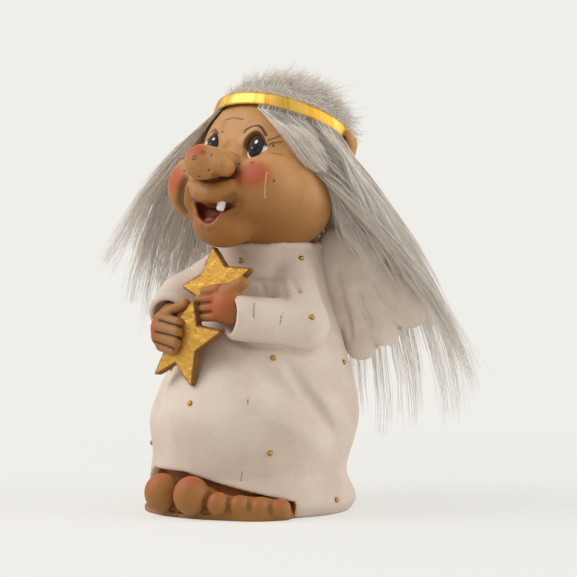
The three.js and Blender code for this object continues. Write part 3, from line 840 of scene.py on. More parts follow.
LEDGE_HEIGHT, LEDGE_OUT, LEDGE_FALL, LEDGE_LENGTH = 14.5, 0.35, 0.02, 9
LEDGE_FADES = ((20, 46), (84, 120))  # the angles that the ledge fades in and out over
HEM_RISE, HEM_LEVEL_TO = 16.7, 33.0
COLLAR_ROLL = 1.3
CUFF_ROOM, CUFF_DEPTH, SLEEVE_OVERRUN = 6.0, 1.6, 12
SWELLS = ((-47, 14, 2.4, 7), (-47, 46, -1.0, 12), (133, 16, -1.0, 8))  # angle, height, out, spread
SWELL_WIDTH = 40  # degrees
SLEEVE_CREASES = (
    ((17.0, -17.6, 87.7), (20.7, -14.1, 88.1), (24.7, -10.4, 88.5)),
    ((24.7, -10.4, 88.5), (25.3, -10.0, 85.0), (26.2, -9.5, 81.5)),
    ((19.3, -15.5, 87.3), (19.8, -15.2, 85.4), (20.3, -14.8, 83.1)),
)
SHOULDER_CREASES = (((24, -6, 90), (28, -4, 83), (31, -4, 76)),)
SKIRT_FOLD = (
    (33.6, -18.1, 58.6), (37.1, -15.4, 51.9), (40.5, -12.6, 45.7), (44.0, -9.8, 39.4),
    (47.6, -7.1, 30.9),
)
CRACKS = (
    ((26.2, -26.9, 80.3), (26.0, -27.1, 77.6), (26.3, -27.1, 74.9)),
    ((32.5, -18.1, 76.7), (31.9, -18.6, 74.8), (31.8, -18.9, 72.8)),
    ((24.5, -28.6, 44.8), (24.7, -28.7, 42.7)),
    ((22.7, -29.7, 18.0), (22.5, -30.2, 14.6)),
)


def add_sleeve(clay, arm):
    """A sleeve bent at the elbow, cut off square at the cuff and hollowed a little there."""
    shoulder, elbow, cuff = (np.array(point, float) for point in arm)
    forearm = (cuff - elbow) / np.linalg.norm(cuff - elbow)
    upper = Rod(shoulder, elbow, *SLEEVE_RADII[:2])
    lower = Rod(elbow, cuff + forearm * SLEEVE_OVERRUN, *SLEEVE_RADII[1:])
    box = Rod(np.minimum(upper.low, lower.low), np.maximum(upper.high, lower.high), MARGIN)
    where, (x, y, z) = clay.window(box, 0.0)
    both = soft_min(upper(x, y, z), lower(x, y, z), 4.0)
    past = (x - cuff[0]) * forearm[0] + (y - cuff[1]) * forearm[1] + (z - cuff[2]) * forearm[2]
    sleeve = -soft_min(-both, -past, 2.6)
    clay.value[where] = soft_min(clay.value[where], sleeve, 2.2)
    start = cuff - forearm * CUFF_DEPTH
    clay.cut(Rod(start, cuff + forearm * 8, CUFF_ROOM), 1.2)


def robe_clay():
    """The robe's body, with its fold, swells and hem ledge."""
    clay = Clay((-45, -43, -1.5), (45, 47, 104.5), GRID_STEPS["robe"])
    x, y, z = clay.places()
    lean = lean_at(z)
    angle = np.degrees(np.arctan2(x, lean - y))
    radius = np.hypot(x, y - lean)
    outline = outline_radius(np.clip(z, 0, ROBE_HEIGHT)) - fold_depth(angle, z)
    for middle, height, out, spread in SWELLS:
        round_to = np.abs((angle - middle + 180) % 360 - 180)
        fade = np.exp(-((round_to / SWELL_WIDTH) ** 2) - ((z - height) / spread) ** 2)
        outline = outline + out * fade
    slope = np.gradient(outline_radius(z[0, 0]), clay.step)
    body = (radius - outline) / np.sqrt(1 + slope**2)
    ledge = LEDGE_HEIGHT + LEDGE_FALL * (angle - 60)
    span = smooth_step(angle, *LEDGE_FADES[0]) * (1 - smooth_step(angle, *LEDGE_FADES[1]))
    over = smooth_step(z, ledge - 0.4, ledge + 0.5)
    body += LEDGE_OUT * over * (1 - smooth_step(z, ledge, ledge + LEDGE_LENGTH)) * span
    body = -soft_min(-body, z, 1.6)
    body = -soft_min(-body, ROBE_HEIGHT - z, 2.4)
    clay.value[:] = body
    return clay


def arch_top(angle):
    """The height of the raised hem, level as far as the right foot."""
    beyond = np.where(angle > 0, angle, np.maximum(-angle - HEM_LEVEL_TO, 0) * 2.4)
    return HEM_RISE - ARCH_FALL * beyond


def carve_hem(clay):
    """The space under the raised hem, where the feet come out."""
    x, y, z = clay.places()
    angle = np.degrees(np.arctan2(x, -y))
    radius = np.hypot(x, y)
    top = arch_top(angle)
    inner = outline_radius(np.clip(z, 0, ROBE_HEIGHT)) - ARCH_RECESS
    room = np.maximum(z - top, inner - radius)
    room = np.maximum(room, (np.abs(angle) - ARCH_HALF_ANGLE) * 0.5)
    clay.value[:] = -soft_min(-clay.value, np.minimum(room, 12), 1.1)


def collar_points():
    """The collar's wavy line, closed, with a finer frill at one shoulder."""
    turns = np.radians(np.arange(0, 360, 6))
    rise = 0.5 * value_noise(np.stack([turns * 12, turns * 0, turns * 0], -1), 2.2, 5)
    radius = outline_radius(ROBE_HEIGHT) - 0.9 + 0.3 * np.sin(turns * 9)
    x = radius * np.sin(turns)
    y = lean_at(ROBE_HEIGHT) - radius * np.cos(turns)
    frill = np.exp(-(((np.degrees(turns) - 68) / 17) ** 2))
    z = ROBE_HEIGHT - 0.7 + rise + frill * (0.8 + 0.5 * np.sin(turns * 26))
    points = np.stack([x, y, z], -1)
    return np.vstack([points, points[:1]])


def robe_paint(context, seats, lines):
    """White paint with streaks, creases darkened by a wash and painted shade, cracks, and a dark ring
    round each bead.
    """
    paint, place, colours = new_paint("robe_paint")
    cloudy = paint.noise(place, 0.05, 4, 0.6)
    fine = paint.noise(place, 0.9, 3, 0.6)
    streaks = paint.noise(place, 1.0, 4, 0.65, (0.35, 0.35, 2.6))
    grain = paint.noise(place, 3.2, 2, 0.5)
    crease = paint.value_of("crease")
    base = paint.mix(cloudy.step(0.35, 0.7), colours.robe, (0.62, 0.50, 0.412))
    base = paint.mix(streaks.step(0.55, 0.8) * 0.32, base, (0.79, 0.70, 0.62))
    base = paint.mix((1 - streaks.step(0.26, 0.5)) * 0.14, base, colours.robe_wash_and_shade)
    # Painted shade and a thin wash in the creases
    base = paint.mix(crease.step(0.10, 0.75) * 0.62, base, colours.robe_wash_and_shade)
    # Darker flecks where the creases are worn, partly painted shade
    worn = crease.step(0.12, 0.4) * fine.step(0.48, 0.62)
    base = paint.mix(worn * 0.15, base, colours.robe_wash_and_shade)
    cracks = reduce(Socket.least, (paint.from_stroke(place, line) for line in lines))
    ragged = cracks + (fine - 0.5) * 1.1
    crack = (1 - ragged.step(0.10, 0.50)) * grain.step(0.33, 0.55)
    base = paint.mix(crack * 0.75, base, (0.17, 0.095, 0.065))
    specks = paint.noise(place, 0.55, 1, 0.4).step(0.765, 0.785) * fine.step(0.5, 0.6)
    base = paint.mix(specks * 0.55, base, (0.20, 0.13, 0.09))
    rings = reduce(Socket.least, (paint.from_point(place, centre) for centre, _ in seats))
    ring = 1 - rings.step(0.95, 1.25)
    base = paint.mix(ring * 0.8, base, (0.22, 0.11, 0.05))
    # Dark brown under the raised hem: partly paint, partly painted shade in the recess
    under = paint.value_of("under")
    base = paint.mix(under.step(0.05, 0.35), base, (0.27, 0.088, 0.022))
    height = streaks * 0.5 + fine * 0.35 + grain * 0.25 - crack * 0.6
    normal = paint.bump(height, 0.55, context.scene.troll_sizes.crack_depth)
    return paint.finish(base, 0.60 + fine * 0.18, normal, specular=0.35)


def bead_seats(robe):
    """Where each bead sits on the robe's surface, and the way that it faces."""
    faces = [tuple(face.vertices) for face in robe.data.polygons]
    surface = BVHTree.FromPolygons([vertex.co for vertex in robe.data.vertices], faces)
    seats = []
    for number in range(len(STUDS)):
        node = frame["nodes"]["stud_%d" % (number + 1)]
        corners = np.array([vertex.co for vertex in node.data.vertices])
        middle = Vector((corners.min(0) + corners.max(0)) / 2)
        place, facing, _, _ = surface.find_nearest(middle)
        seats.append((np.array(place) / MM, np.array(facing)))
    return seats


class TROLL_OT_robe(bpy.types.Operator):
    """Models the robe with its sleeves, cuffs, collar and hem"""

    bl_idname = "troll.robe"
    bl_label = "Robe"

    def execute(self, context):
        clay = robe_clay()
        for arm in (LEFT_ARM, RIGHT_ARM):
            add_sleeve(clay, arm)
        carve_hem(clay)
        for rod in chain(collar_points(), COLLAR_ROLL):
            clay.add(rod, 0.7)
        for points in SLEEVE_CREASES:
            clay.press(chain(seated(clay, resampled(points, 1.5), VIEW_WAY, 16), 0.1), 0.6, 0.9)
        for points in SHOULDER_CREASES:
            clay.press(chain(points, 0.1), 0.7, 1.2)
        fold = seated(clay, resampled(SKIRT_FOLD, 3.0), VIEW_WAY, 16)
        for share, rod in zip(np.linspace(0, np.pi, len(fold) - 1), chain(fold, 0.3)):
            clay.press([rod], 0.35 + 0.75 * np.sin(share), 2.0)
        cracks = [seated(clay, resampled(line, 1.2), VIEW_WAY, 16) for line in CRACKS]
        points, quads = clay.skin()
        # How deep in hollows each point lies, for the painted shade and wash in the creases
        crease = clay.hollow(points, quads, (0.5, 1.6), (0.5, 3.4))
        x, y, z = points.T
        angle = np.degrees(np.arctan2(x, -y))
        inwards = outline_radius(np.clip(z, 0, ROBE_HEIGHT)) - np.hypot(x, y)
        # The recess under the raised hem, which gets its dark brown, partly as painted shade
        below = 1 - smooth_step(z - arch_top(angle), -0.3, 0.5)
        under = below * smooth_step(inwards, 0.2, 1.0) * (np.abs(angle) < ARCH_HALF_ANGLE + 6)
        marks = {"crease": crease, "under": under}
        robe = mesh_piece("robe", points, quads, None, marks)
        robe.data.materials[0] = robe_paint(context, bead_seats(robe), cracks)
        finish_piece(robe, "robe_paint", "robe")
        return {"FINISHED"}


# Head

BROW = ((3.6, 3.0), (4.3, 4.4), (6.5, 5.6), (9.2, 5.8), (10.8, 4.8), (12.2, 2.7))
FAR_BROW = ((-14.9, 4.7), (-13.3, 5.3), (-11.5, 4.9), (-9.9, 3.8), (-8.7, 2.5))
FACE_LINES = (
    ((13.4, 0.9), (14.9, 2.3), (16.6, 4.0)),
    ((13.8, -0.6), (14.9, 0.4), (17.0, 1.4)),
    ((15.5, -4.3), (18.8, -3.8)),
    ((-7.9, 8.6), (-3.5, 9.2), (1.3, 8.4)),
)
# A pale stroke down the near cheek, painted as the highlight on a drip
DRIP_HIGHLIGHT = ((21.3, -14.8), (21.6, -19.0), (21.4, -24.0))
FRECKLES = (
    (5.9, -10.6), (14.4, -11.1), (-6.4, 3.0), (23.9, -17.3), (14.9, -0.6),
    (5.8, -13.9), (-14.8, -15.3), (5.2, -19.3), (13.8, -11.0), (1.3, -21.8),
)
RINGS = ((1, -16.4), (3.6, -13.7))
UPPER_LIP = (
    (-13.2, -29.8, -19.0), (-9, -32.0, -21.8), (-4, -33.0, -24.2), (1, -33.4, -24.8),
    (6, -33.0, -23.4), (10, -31.8, -20.6), (12.2, -30.2, -18.0),
)
LOWER_LIP = (
    (-10.6, -26.4), (-9.3, -29.6), (-5.8, -33.1), (-2.2, -35.7), (0.8, -36.6), (3.2, -35.8),
    (4.5, -33.6), (5.0, -31.4), (6.4, -29.4), (8.6, -27.4),
)
MOUTH = (
    (-9.9, -26.2), (-8.2, -25.9), (-5.3, -27.2), (-2.0, -27.9), (3.2, -27.6), (5.4, -26.9),
    (8.1, -25.9), (10.4, -23.5), (10.6, -23.9), (8.0, -27.0), (5.6, -29.2), (4.2, -31.2),
    (3.8, -33.6), (2.7, -35.3), (0.8, -35.9), (-1.9, -35.1), (-5.3, -32.6), (-8.4, -29.6),
)
MOUTH_FLOOR, CORNER_FLOOR = -24.5, -32.2
NEAR_CREASE = (
    (8.8, -33.4, -17.0), (11.0, -33.8, -19.7), (12.0, -33.6, -22.7), (11.6, -32, -25.2),
    (10.4, -29.4, -26.8),
)
FAR_CREASE = (
    (-13.6, -32.7, -19.0), (-14.9, -31.4, -21.2), (-16.3, -29.7, -24.2),
    (-17.0, -27.4, -26.4), (-16.2, -25.4, -28.4),
)
LIP_CREASE = ((-10.6, -34.4, -22.8), (-11.0, -32.6, -24.4), (-10.2, -30.6, -25.8))
# Dark brown along the face's creases: partly wash, partly painted shade
CREASE_SHADE_AND_WASH = (
    (FAR_CREASE, 0.3, (0.2, 2.3), 0.75),
    (NEAR_CREASE[2:], 0.2, (0.2, 2.0), 0.16),
    (LIP_CREASE, 0.2, (0.1, 1.3), 0.7),
)  # line, radius, the distances that the wash and painted shade fade over, strength
NOSE_GROOVE = ((6.6, -43.0, -17.2), (5.6, -42.6, -19.0), (4.6, -40.0, -19.6), (3.6, -37.4, -19.2))
NEAR_SOCKET = (((8.9, -27.4, -1.7), (3.8, 5.6, 4.9)), ((8.6, -29.0, -5.4), (4.7, 5.2, 2.8)))
FAR_SOCKET = (((-12.0, -26.0, -1.3), (3.7, 5.6, 4.6)), ((-12.0, -27.0, -4.6), (3.9, 5.0, 2.6)))
BLUSH = (
    (1.2, (16.0, -33.2, -15.8), (10.4, 9.5, 8.2)),
    (1.0, (-19.8, -32.3, -17.6), (9.5, 9, 7.5)),
    (1.1, (-0.5, -49.5, -12.8), (7.0, 6.5, 5.6)),
    (0.25, (10.5, -34, -24), (4, 5, 3)),
)  # strength, middle and radii


def head_clay():
    """The head without its features, with its lips and creases."""
    clay = Clay((-33, -52, -43), (35, 33, 33), GRID_STEPS["head"])
    clay.add(Egg(*SKULL))
    clay.add(Egg(*JOWL), 5)
    for cheek in (CHEEK, mirrored(CHEEK)):
        clay.add(Egg(*cheek), 4)
    clay.add(Egg(*CHIN), 8)
    for rod in chain(UPPER_LIP, (1.6, 2.8, 3.5, 3.7, 3.5, 2.8, 1.6)):
        clay.add(rod, 2.6)
    clay.press(chain(NEAR_CREASE, 0.2), 0.9, 1.3)
    clay.press(chain(FAR_CREASE, 0.2), 1.2, 1.4)
    clay.press(chain(LIP_CREASE, 0.2), 0.7, 0.9)
    return clay


def on_face(clay, places):
    """Where the face is met from ahead, at places given as x and z in the head's frame."""
    places = np.array(places, float)
    points = np.stack([places[:, 0], np.full(len(places), -30.0), places[:, 1]], -1)
    return seated(clay, points, (0, 1, 0), 22.0)


def carve_mouth(clay):
    """The open mouth, with the lower lip round it and the chin's soft edge."""
    lip = on_face(clay, LOWER_LIP)
    x, y, z = clay.places()
    flat = polygon_distance(x, z, MOUTH)
    floor = MOUTH_FLOOR + (CORNER_FLOOR - MOUTH_FLOOR) * smooth_step(x, 4.5, 8.0)
    opening = np.maximum(flat, y - floor)
    clay.value[:] = -soft_min(-clay.value, opening, 0.5)
    for rod in chain(lip + np.array([0, 0.35, 0]), (0.5, 0.8, 1.0, 1.1, 1.1, 1.0, 0.9, 0.7, 0.5, 0.3)):
        clay.add(rod, 1.0)
    clay.add(Egg((-0.6, -25.6, -33.4), (4.8, 4.6, 2.8)), 1.2)


def add_nose(clay):
    """The round nose, with its nostrils and the groove beside one of them."""
    nose = clay.blank()
    nose.add(Rod((0, -29, -10.5), (0, -43.5, -15.5), 5.2, 6.7))
    for side in (1, -1):
        nose.add(Egg((6.0 * side, -36.8, -14.8), (3.4, 4.7, 3.6)), 1.8)
    for side in (1, -1):
        nose.cut(Egg((4.2 * side, -38.8, -19.6), (1.6, 2.2, 1.2)), 0.7)
    nose.press(chain(NOSE_GROOVE, 0.1), 0.8, 0.9)
    clay.value[:] = soft_min(clay.value, nose.value, 1.6)


def add_lids(clay):
    """The lids that hang over the eyes."""
    for side in (1, -1):
        ridge = ((4.4 * side, -25.6, -1), (8.6 * side, -24.6, 4.9), (12.4 * side, -22.6, 0.6))
        for rod in chain(ridge, 1.4):
            clay.add(rod, 2.6)


def carve_sockets(clay):
    """The hollows that the eyes sit in."""
    for centre, radii in NEAR_SOCKET + FAR_SOCKET:
        clay.cut(Egg(centre, radii), 0.7)


def add_ears(clay):
    """The ears, mostly under the hair."""
    for side in (1, -1):
        rim = (
            (24.9 * side, 1.0, 14.5), (28.9 * side, 3.6, 14.0), (31.1 * side, 4.6, 9.5),
            (30.8 * side, 3.8, 4.0), (28.8 * side, 1.2, -0.8),
        )
        for rod in chain(rim, (1.0, 1.6, 1.8, 1.7, 1.3)):
            clay.add(rod, 0.9)
        clay.add(Egg((28.2 * side, 0.8, 5.6), (2.0, 3.6, 6.2)), 1.2)


def skin_paint(name, marks=None):
    """Tan paint with a red blush, darkened in the hollows by a brown wash and painted shade; marks
    adds painted detail.
    """
    paint, place, colours = new_paint(name)
    cloudy = paint.noise(place, 0.12, 4, 0.6)
    fine = paint.noise(place, 1.4, 3, 0.6)
    wash, blush, tan = (paint.value_of(key) for key in ("wash", "blush", "tan"))
    shade = scaled(colours.skin, 0.76)
    light = scaled(colours.skin, 1.16)
    base = paint.mix(cloudy.step(0.3, 0.7) * 0.65, colours.skin, shade)
    base = paint.mix(fine.step(0.5, 0.75) * 0.25, base, light)
    # Deeper brown where tan is high: all over the hands and feet, and on the face towards the jaw,
    # partly as painted shade of the light from above
    base = paint.mix(tan * 0.8, base, (0.29, 0.112, 0.017))
    base = paint.mix((blush * (0.8 + fine * 0.4)).least(1.0) * 0.92, base, colours.blush)
    # The wash mask, partly brown wash and partly painted shade, broken up a little by noise
    wash_and_shade = wash + (fine - 0.5) * 0.30 + (cloudy - 0.5) * 0.16
    base = paint.mix(wash_and_shade.step(0.12, 0.85) * 0.85, base, colours.wash)
    # On hands and feet, near-black painted shade in the deepest hollows
    if marks is None:
        base = paint.mix(wash_and_shade.step(0.80, 1.08) * 0.8, base, scaled(colours.wash, 0.28))
    height = fine * 0.6 + paint.noise(place, 0.45, 3, 0.6) * 0.7
    if marks:
        base, height = marks(paint, place, base, height, fine)
    normal = paint.bump(height, 0.35, 0.16 * MM)
    return paint.finish(base, 0.46 + fine * 0.2, normal, specular=0.4)


def face_marks(seat):
    """Brows, lines and freckles, brushed on where seat puts them on the face."""

    def strokes(paint, place, lines):
        seats = (from_head(seat(resampled(line, 1.4))) for line in lines)
        return reduce(Socket.least, (paint.from_stroke(place, points) for points in seats))

    def spots(paint, place, centres):
        seats = (from_head(seat([centre]))[0] for centre in centres)
        return [paint.from_point(place, point) for point in seats]

    def marks(paint, place, base, height, fine):
        colours = bpy.context.scene.troll_colours
        wobble = (fine - 0.5) * 0.25
        brown, dark = (0.15, 0.050, 0.014), (0.080, 0.020, 0.008)
        brow = 1 - (strokes(paint, place, (BROW, FAR_BROW)) + wobble).step(0.42, 0.72)
        base = paint.mix(brow * 0.92, base, (0.075, 0.024, 0.014))
        # Pale stroke on the cheek: a painted highlight
        drip_highlight = 1 - (strokes(paint, place, (DRIP_HIGHLIGHT,)) + wobble).step(0.08, 0.4)
        base = paint.mix(drip_highlight * 0.55, base, (0.72, 0.50, 0.33))
        line = 1 - (strokes(paint, place, FACE_LINES) + wobble).step(0.16, 0.5)
        base = paint.mix(line * 0.85, base, brown)
        freckles = reduce(Socket.least, spots(paint, place, FRECKLES))
        spot = 1 - (freckles + wobble).step(0.38, 0.66)
        base = paint.mix(spot * 0.85, base, dark)
        for off in spots(paint, place, RINGS):
            off = off + wobble
            band = off.step(0.35, 0.6) * (1 - off.step(0.75, 1.05))
            base = paint.mix(band * 0.9, base, dark)
        mouth, lip = paint.value_of("mouth"), paint.value_of("lip")
        base = paint.mix(lip * 0.45, base, (0.34, 0.10, 0.045))
        base = paint.mix(mouth * 0.97, base, colours.mouth)
        return base, height - line * 1.6 - spot * 0.8

    return marks


def resampled(points, step):
    """The points of a line, about one step apart."""
    points = np.array(points, float)
    lengths = np.concatenate([[0], np.cumsum(np.linalg.norm(np.diff(points, axis=0), axis=1))])
    places = np.linspace(0, lengths[-1], max(int(round(lengths[-1] / step)) + 1, 2))
    return np.stack([np.interp(places, lengths, column) for column in points.T], -1)


def blob(points, centre, radii):
    """A soft patch: 1 in the middle, fading out at the radii."""
    off = np.linalg.norm((points - np.array(centre)) / np.array(radii), axis=1)
    return 1 - smooth_step(off, 0.25, 1.0)


def nearest(points, forms):
    """The distance from each point to the nearest of the forms."""
    x, y, z = points.T
    return np.min([form(x, y, z) for form in forms], axis=0)


def head_marks(clay, seat_clay, points, quads):
    """How strongly each kind of paint covers each point of the head, the wash being partly painted
    shade.
    """
    # Brown wash and painted shade in the hollows, less under the nose
    wash = clay.hollow(points, quads, (0.40, 1.3), (0.30, 3.6))
    wash = wash * (1 - 0.9 * blob(points, (1, -38, -19.5), (14, 14, 9)))
    for line, radius, fade, strength in CREASE_SHADE_AND_WASH:
        crease = 1 - smooth_step(nearest(points, chain(line, radius)), *fade)
        wash = np.maximum(wash, strength * crease)
    # Painted shade under the lids, along the top of each eye's socket
    for socket in (NEAR_SOCKET[0], FAR_SOCKET[0]):
        edge = np.abs(nearest(points, [Egg(*socket)]))
        inside = (1 - smooth_step(edge, 0.2, 1.2)) * smooth_step(points[:, 2], -5.5, -2.0)
        wash = np.maximum(wash, 0.85 * inside)
    flat = polygon_distance(points[:, 0], points[:, 2], MOUTH)
    behind = smooth_step(points[:, 1], -33.6, -32.4)
    aside = smooth_step(points[:, 0], 5.2, 7.0)
    mouth = (1 - smooth_step(flat, -0.3, 0.7)) * behind * (1 - aside)
    corner = (1 - smooth_step(flat, -0.2, 0.8)) * aside
    # Painted shade in the mouth's corner
    wash = np.maximum(wash, 0.55 * corner * (points[:, 1] > -36))
    lip = nearest(points, chain(on_face(seat_clay, LOWER_LIP[:7]), 0.9))
    blush = np.max([
        strength * blob(points, middle, radii) for strength, middle, radii in BLUSH
    ], axis=0)
    return {
        "wash": wash * (1 - 0.8 * mouth),
        "blush": np.clip(blush, 0, 1),
        "mouth": mouth,
        "lip": (1 - smooth_step(lip, 0.2, 1.4)) * (1 - mouth),
        # Darker towards the jaw, partly as painted shade of the light from above
        "tan": 1.15 * smooth_step(-points[:, 2], 4, 34),
    }


class TROLL_OT_head(bpy.types.Operator):
    """Models and paints the head"""

    bl_idname = "troll.head"
    bl_label = "Head"

    def execute(self, context):
        clay = head_clay()
        add_nose(clay)
        add_lids(clay)
        seat_clay = clay.blank()
        seat_clay.value[:] = clay.value
        carve_sockets(clay)
        carve_mouth(clay)
        add_ears(clay)
        points, quads = clay.skin()
        marks = head_marks(clay, seat_clay, points, quads)
        paint = skin_paint("face_paint", face_marks(lambda places: on_face(seat_clay, places)))
        head = mesh_piece("head", from_head(points), quads, paint, marks)
        finish_piece(head, "skin_paint", "head")
        return {"FINISHED"}


# Eyes and tooth

EYES = (((8.9, -21.6, -2.2), (5.1, 5.0, 6.6)), ((-11.3, -21.2, -1.4), (4.8, 4.7, 6.0)))
IRISES = (((9.5, -26.4, -2.7), (3.1, 4.1)), ((-10.9, -25.6, -1.0), (2.5, 3.4)))
# Painted highlights on each eye
EYE_HIGHLIGHTS = ((0.0, 0.5, 0.21, 1.0), (-0.32, -0.12, 0.13, 0.3))  # right, above, size, strength


def eye_paint(name, side, centre, radii):
    """A white eye, brown above and outside, partly as painted shade under the lid, with a rimmed iris,
    a pupil and two painted highlights.
    """
    paint, place, colours = new_paint(name)
    middle = from_head([centre])[0]
    off = paint.vector("SUBTRACT", place, tuple(middle))
    right, up = HEAD_TURN[:, 0], HEAD_TURN[:, 2]
    across = paint.vector("DOT_PRODUCT", off, tuple(right / radii[0]), output=1)
    along = paint.vector("DOT_PRODUCT", off, tuple(up / radii[1]), output=1)
    leaning = across - along * 0.12
    radius = (leaning * leaning + along * along) ** 0.5
    fine = paint.noise(place, 1.6, 3, 0.6)
    fibres = paint.noise(place, 2.4, 2, 0.6)
    white = paint.mix(fine * 0.25, (0.83, 0.80, 0.77), (0.70, 0.62, 0.57))
    outside = side * across
    # Brown above and outside the iris: partly paint, partly painted shade under the lid
    brown_and_lid_shade = (along - outside * 0.30 + (fine - 0.5) * 0.2).step(-0.30, 0.05)
    ground = paint.mix(brown_and_lid_shade, white, (0.085, 0.034, 0.016))
    iris_light = paint.mix(fibres.step(0.45, 0.75), colours.iris, (0.075, 0.075, 0.085))
    pupil = 1 - radius.step(0.40, 0.52)
    iris = paint.mix(pupil * 0.8, iris_light, (0.006, 0.006, 0.007))
    rim = radius.step(0.82, 0.95)
    iris = paint.mix(rim * 0.8, iris, (0.010, 0.009, 0.010))
    base = paint.mix(1 - radius.step(0.92, 1.02), ground, iris)

    # A painted highlight: a white spot on the eye
    def painted_highlight(right_of, above, size, strength):
        off = paint.vector("LENGTH", paint.node("ShaderNodeCombineXYZ", {}, {
            0: leaning - right_of, 1: along - above, 2: 0.0,
        }), output=1)
        return (1 - off.step(size * 0.7, size)) * strength

    highlights = reduce(Socket.most, (painted_highlight(*one) for one in EYE_HIGHLIGHTS))
    base = paint.mix(highlights, base, (0.95, 0.95, 0.94))
    return paint.finish(base, 0.5, paint.bump(fine, 0.2, 0.05 * MM), specular=0.12)


def tooth_paint():
    """Off-white paint, a little mottled."""
    paint, place, _ = new_paint("tooth_paint")
    fine = paint.noise(place, 1.5, 3, 0.6)
    base = paint.mix(fine * 0.5, (0.86, 0.83, 0.79), (0.74, 0.66, 0.58))
    return paint.finish(base, 0.35, paint.bump(fine, 0.2, 0.05 * MM))


class TROLL_OT_eyes(bpy.types.Operator):
    """Models the painted eyes and the single tooth"""

    bl_idname = "troll.eyes"
    bl_label = "Eyes and tooth"

    def execute(self, context):
        sides = zip(("left_eye", "right_eye"), (1, -1), EYES, IRISES)
        for name, side, (middle, size), (centre, radii) in sides:
            ball = Egg(middle, size)
            clay = Clay(ball.low - 2, ball.high + 2, GRID_STEPS["eye"])
            clay.add(ball)
            points, quads = clay.skin()
            paint = eye_paint(name + "_paint", side, centre, radii)
            eye = mesh_piece(name, from_head(points), quads, paint)
            finish_piece(eye, "eye_gloss", name)
        clay = Clay((-1, -38, -36), (9, -27, -20), GRID_STEPS["tooth"])
        clay.add(Rod((4.3, -31.6, -25), (4.1, -31.4, -29.2), 1.7, 1.5))
        clay.cut(Egg((4.2, -31.5, -32.6), (6, 6, 2.3)), 0.8)
        points, quads = clay.skin()
        tooth = mesh_piece("tooth", from_head(points), quads, tooth_paint())
        finish_piece(tooth, "tooth_paint", "tooth")
        return {"FINISHED"}


# Hands

FIST_SLITS = (
    ((-15.2, -34.9, 72.7), (-12.0, -32.0, 71.4), (-8.8, -29.1, 70.4)),
    ((-16.3, -36.0, 68.4), (-12.5, -32.5, 67.3), (-8.8, -29.1, 66.1)),
    ((-16.9, -36.5, 64.9), (-14.0, -33.9, 63.5), (-11.1, -31.3, 62.2)),
)
FINGER_SLITS = (
    ((1.4, -30, 82.4), (5, -31, 83.0), (8.6, -31, 83.4)),
    ((0.2, -30, 79.1), (4, -31, 79.6), (8.4, -31, 80.2)),
    ((0.4, -30, 76.0), (4, -31, 76.3), (8.6, -31, 76.7)),
)


def hand_piece(name, forms, slits, slit_shade, knuckles):
    """A hand of blended forms, with red knuckles, and with a brown wash and painted shade in its
    hollows and in the slits between its fingers.
    """
    low = np.min([form.low for form, _ in forms], axis=0) - 2
    high = np.max([form.high for form, _ in forms], axis=0) + 2
    clay = Clay(low, high, GRID_STEPS["hand"])
    for form, blend in forms:
        clay.add(form, blend)
    lines = [seated(clay, resampled(slit, 1.0), VIEW_WAY, 14.0) for slit in slits]
    for line in lines:
        clay.press(chain(line, 0.1), 0.5, 0.35)
    points, quads = clay.skin()
    # Brown wash and painted shade in the hand's hollows
    wash = clay.hollow(points, quads, (0.75, 0.8), (0.4, 2.4))
    # Painted shade in the slits between the fingers
    for line in lines:
        dark = 1 - smooth_step(nearest(points, chain(line, 0.25)), 0.12, 0.50)
        wash = np.maximum(wash, dark * slit_shade)
    blush = np.clip(np.max([blob(points, *knuckle) for knuckle in knuckles], axis=0), 0, 1)
    paint = skin_paint(name + "_paint")
    marks = {"wash": wash, "blush": 0.85 * blush, "tan": np.full(len(points), 0.95)}
    hand = mesh_piece(name, points, quads, paint, marks)
    finish_piece(hand, "skin_paint", name)


class TROLL_OT_hands(bpy.types.Operator):
    """Models the left hand and the right fist"""

    bl_idname = "troll.hands"
    bl_label = "Hands"

    def execute(self, context):
        left = [
            (Egg((12, -27, 79.5), (7, 4.5, 7.5)), 0),
            (Rod((12, -27, 78), (24, -12, 73.5), 5.6), 2),
        ]
        for start, end, radius in LEFT_FINGERS:
            left.append((Rod(start, end, radius + 0.1, radius - 0.1), 0.7))
        left.append((Rod((12.5, -26.8, 84), (18.2, -25.0, 87.6), 2.9, 2.4), 1.8))
        knuckles = [((10.0, -31.0, 80.2), (8.5, 6, 9.5)), ((14.0, -30.5, 80.0), (7, 6, 9))]
        hand_piece("left_hand", left, FINGER_SLITS, 0.6, knuckles)
        right = [
            (Egg((-14.0, -32.6, 68.9), (5.5, 6, 8)), 0),
            (Rod((-14.0, -31.6, 69.6), (-28, -12, 77), 5.6), 2),
        ]
        for finger in RIGHT_FINGERS:
            right.append((Rod(*finger), 1.3))
        right.append((Rod((-13, -33.6, 75.0), (-4.6, -31.8, 79.2), 2.4, 2.0), 1.2))
        knuckles = [((-17.0, -38.0, 68.5), (6.0, 6.0, 9.5)), ((-16.0, -35.0, 73.5), (5, 6, 5))]
        hand_piece("right_hand", right, FIST_SLITS, 1.0, knuckles)
        return {"FINISHED"}


# Stars

LINE_DEPTH, LINE_LEVEL = 0.28, 0.75  # the line round a star's side, and its height there


def star_matrix(star):
    """The turn that stands a star up as it is held."""
    turn = turned("Z", star["yaw"]) @ turned("X", 90 - star["pitch"])
    return turn @ turned("Z", star["spin"])


def star_outline(corners):
    """The corners drawn in by what rounds them off afterwards."""
    corners = np.array(corners, float)
    reach = np.linalg.norm(corners, axis=1, keepdims=True)
    return corners * (1 - STAR_BLUNT / reach)


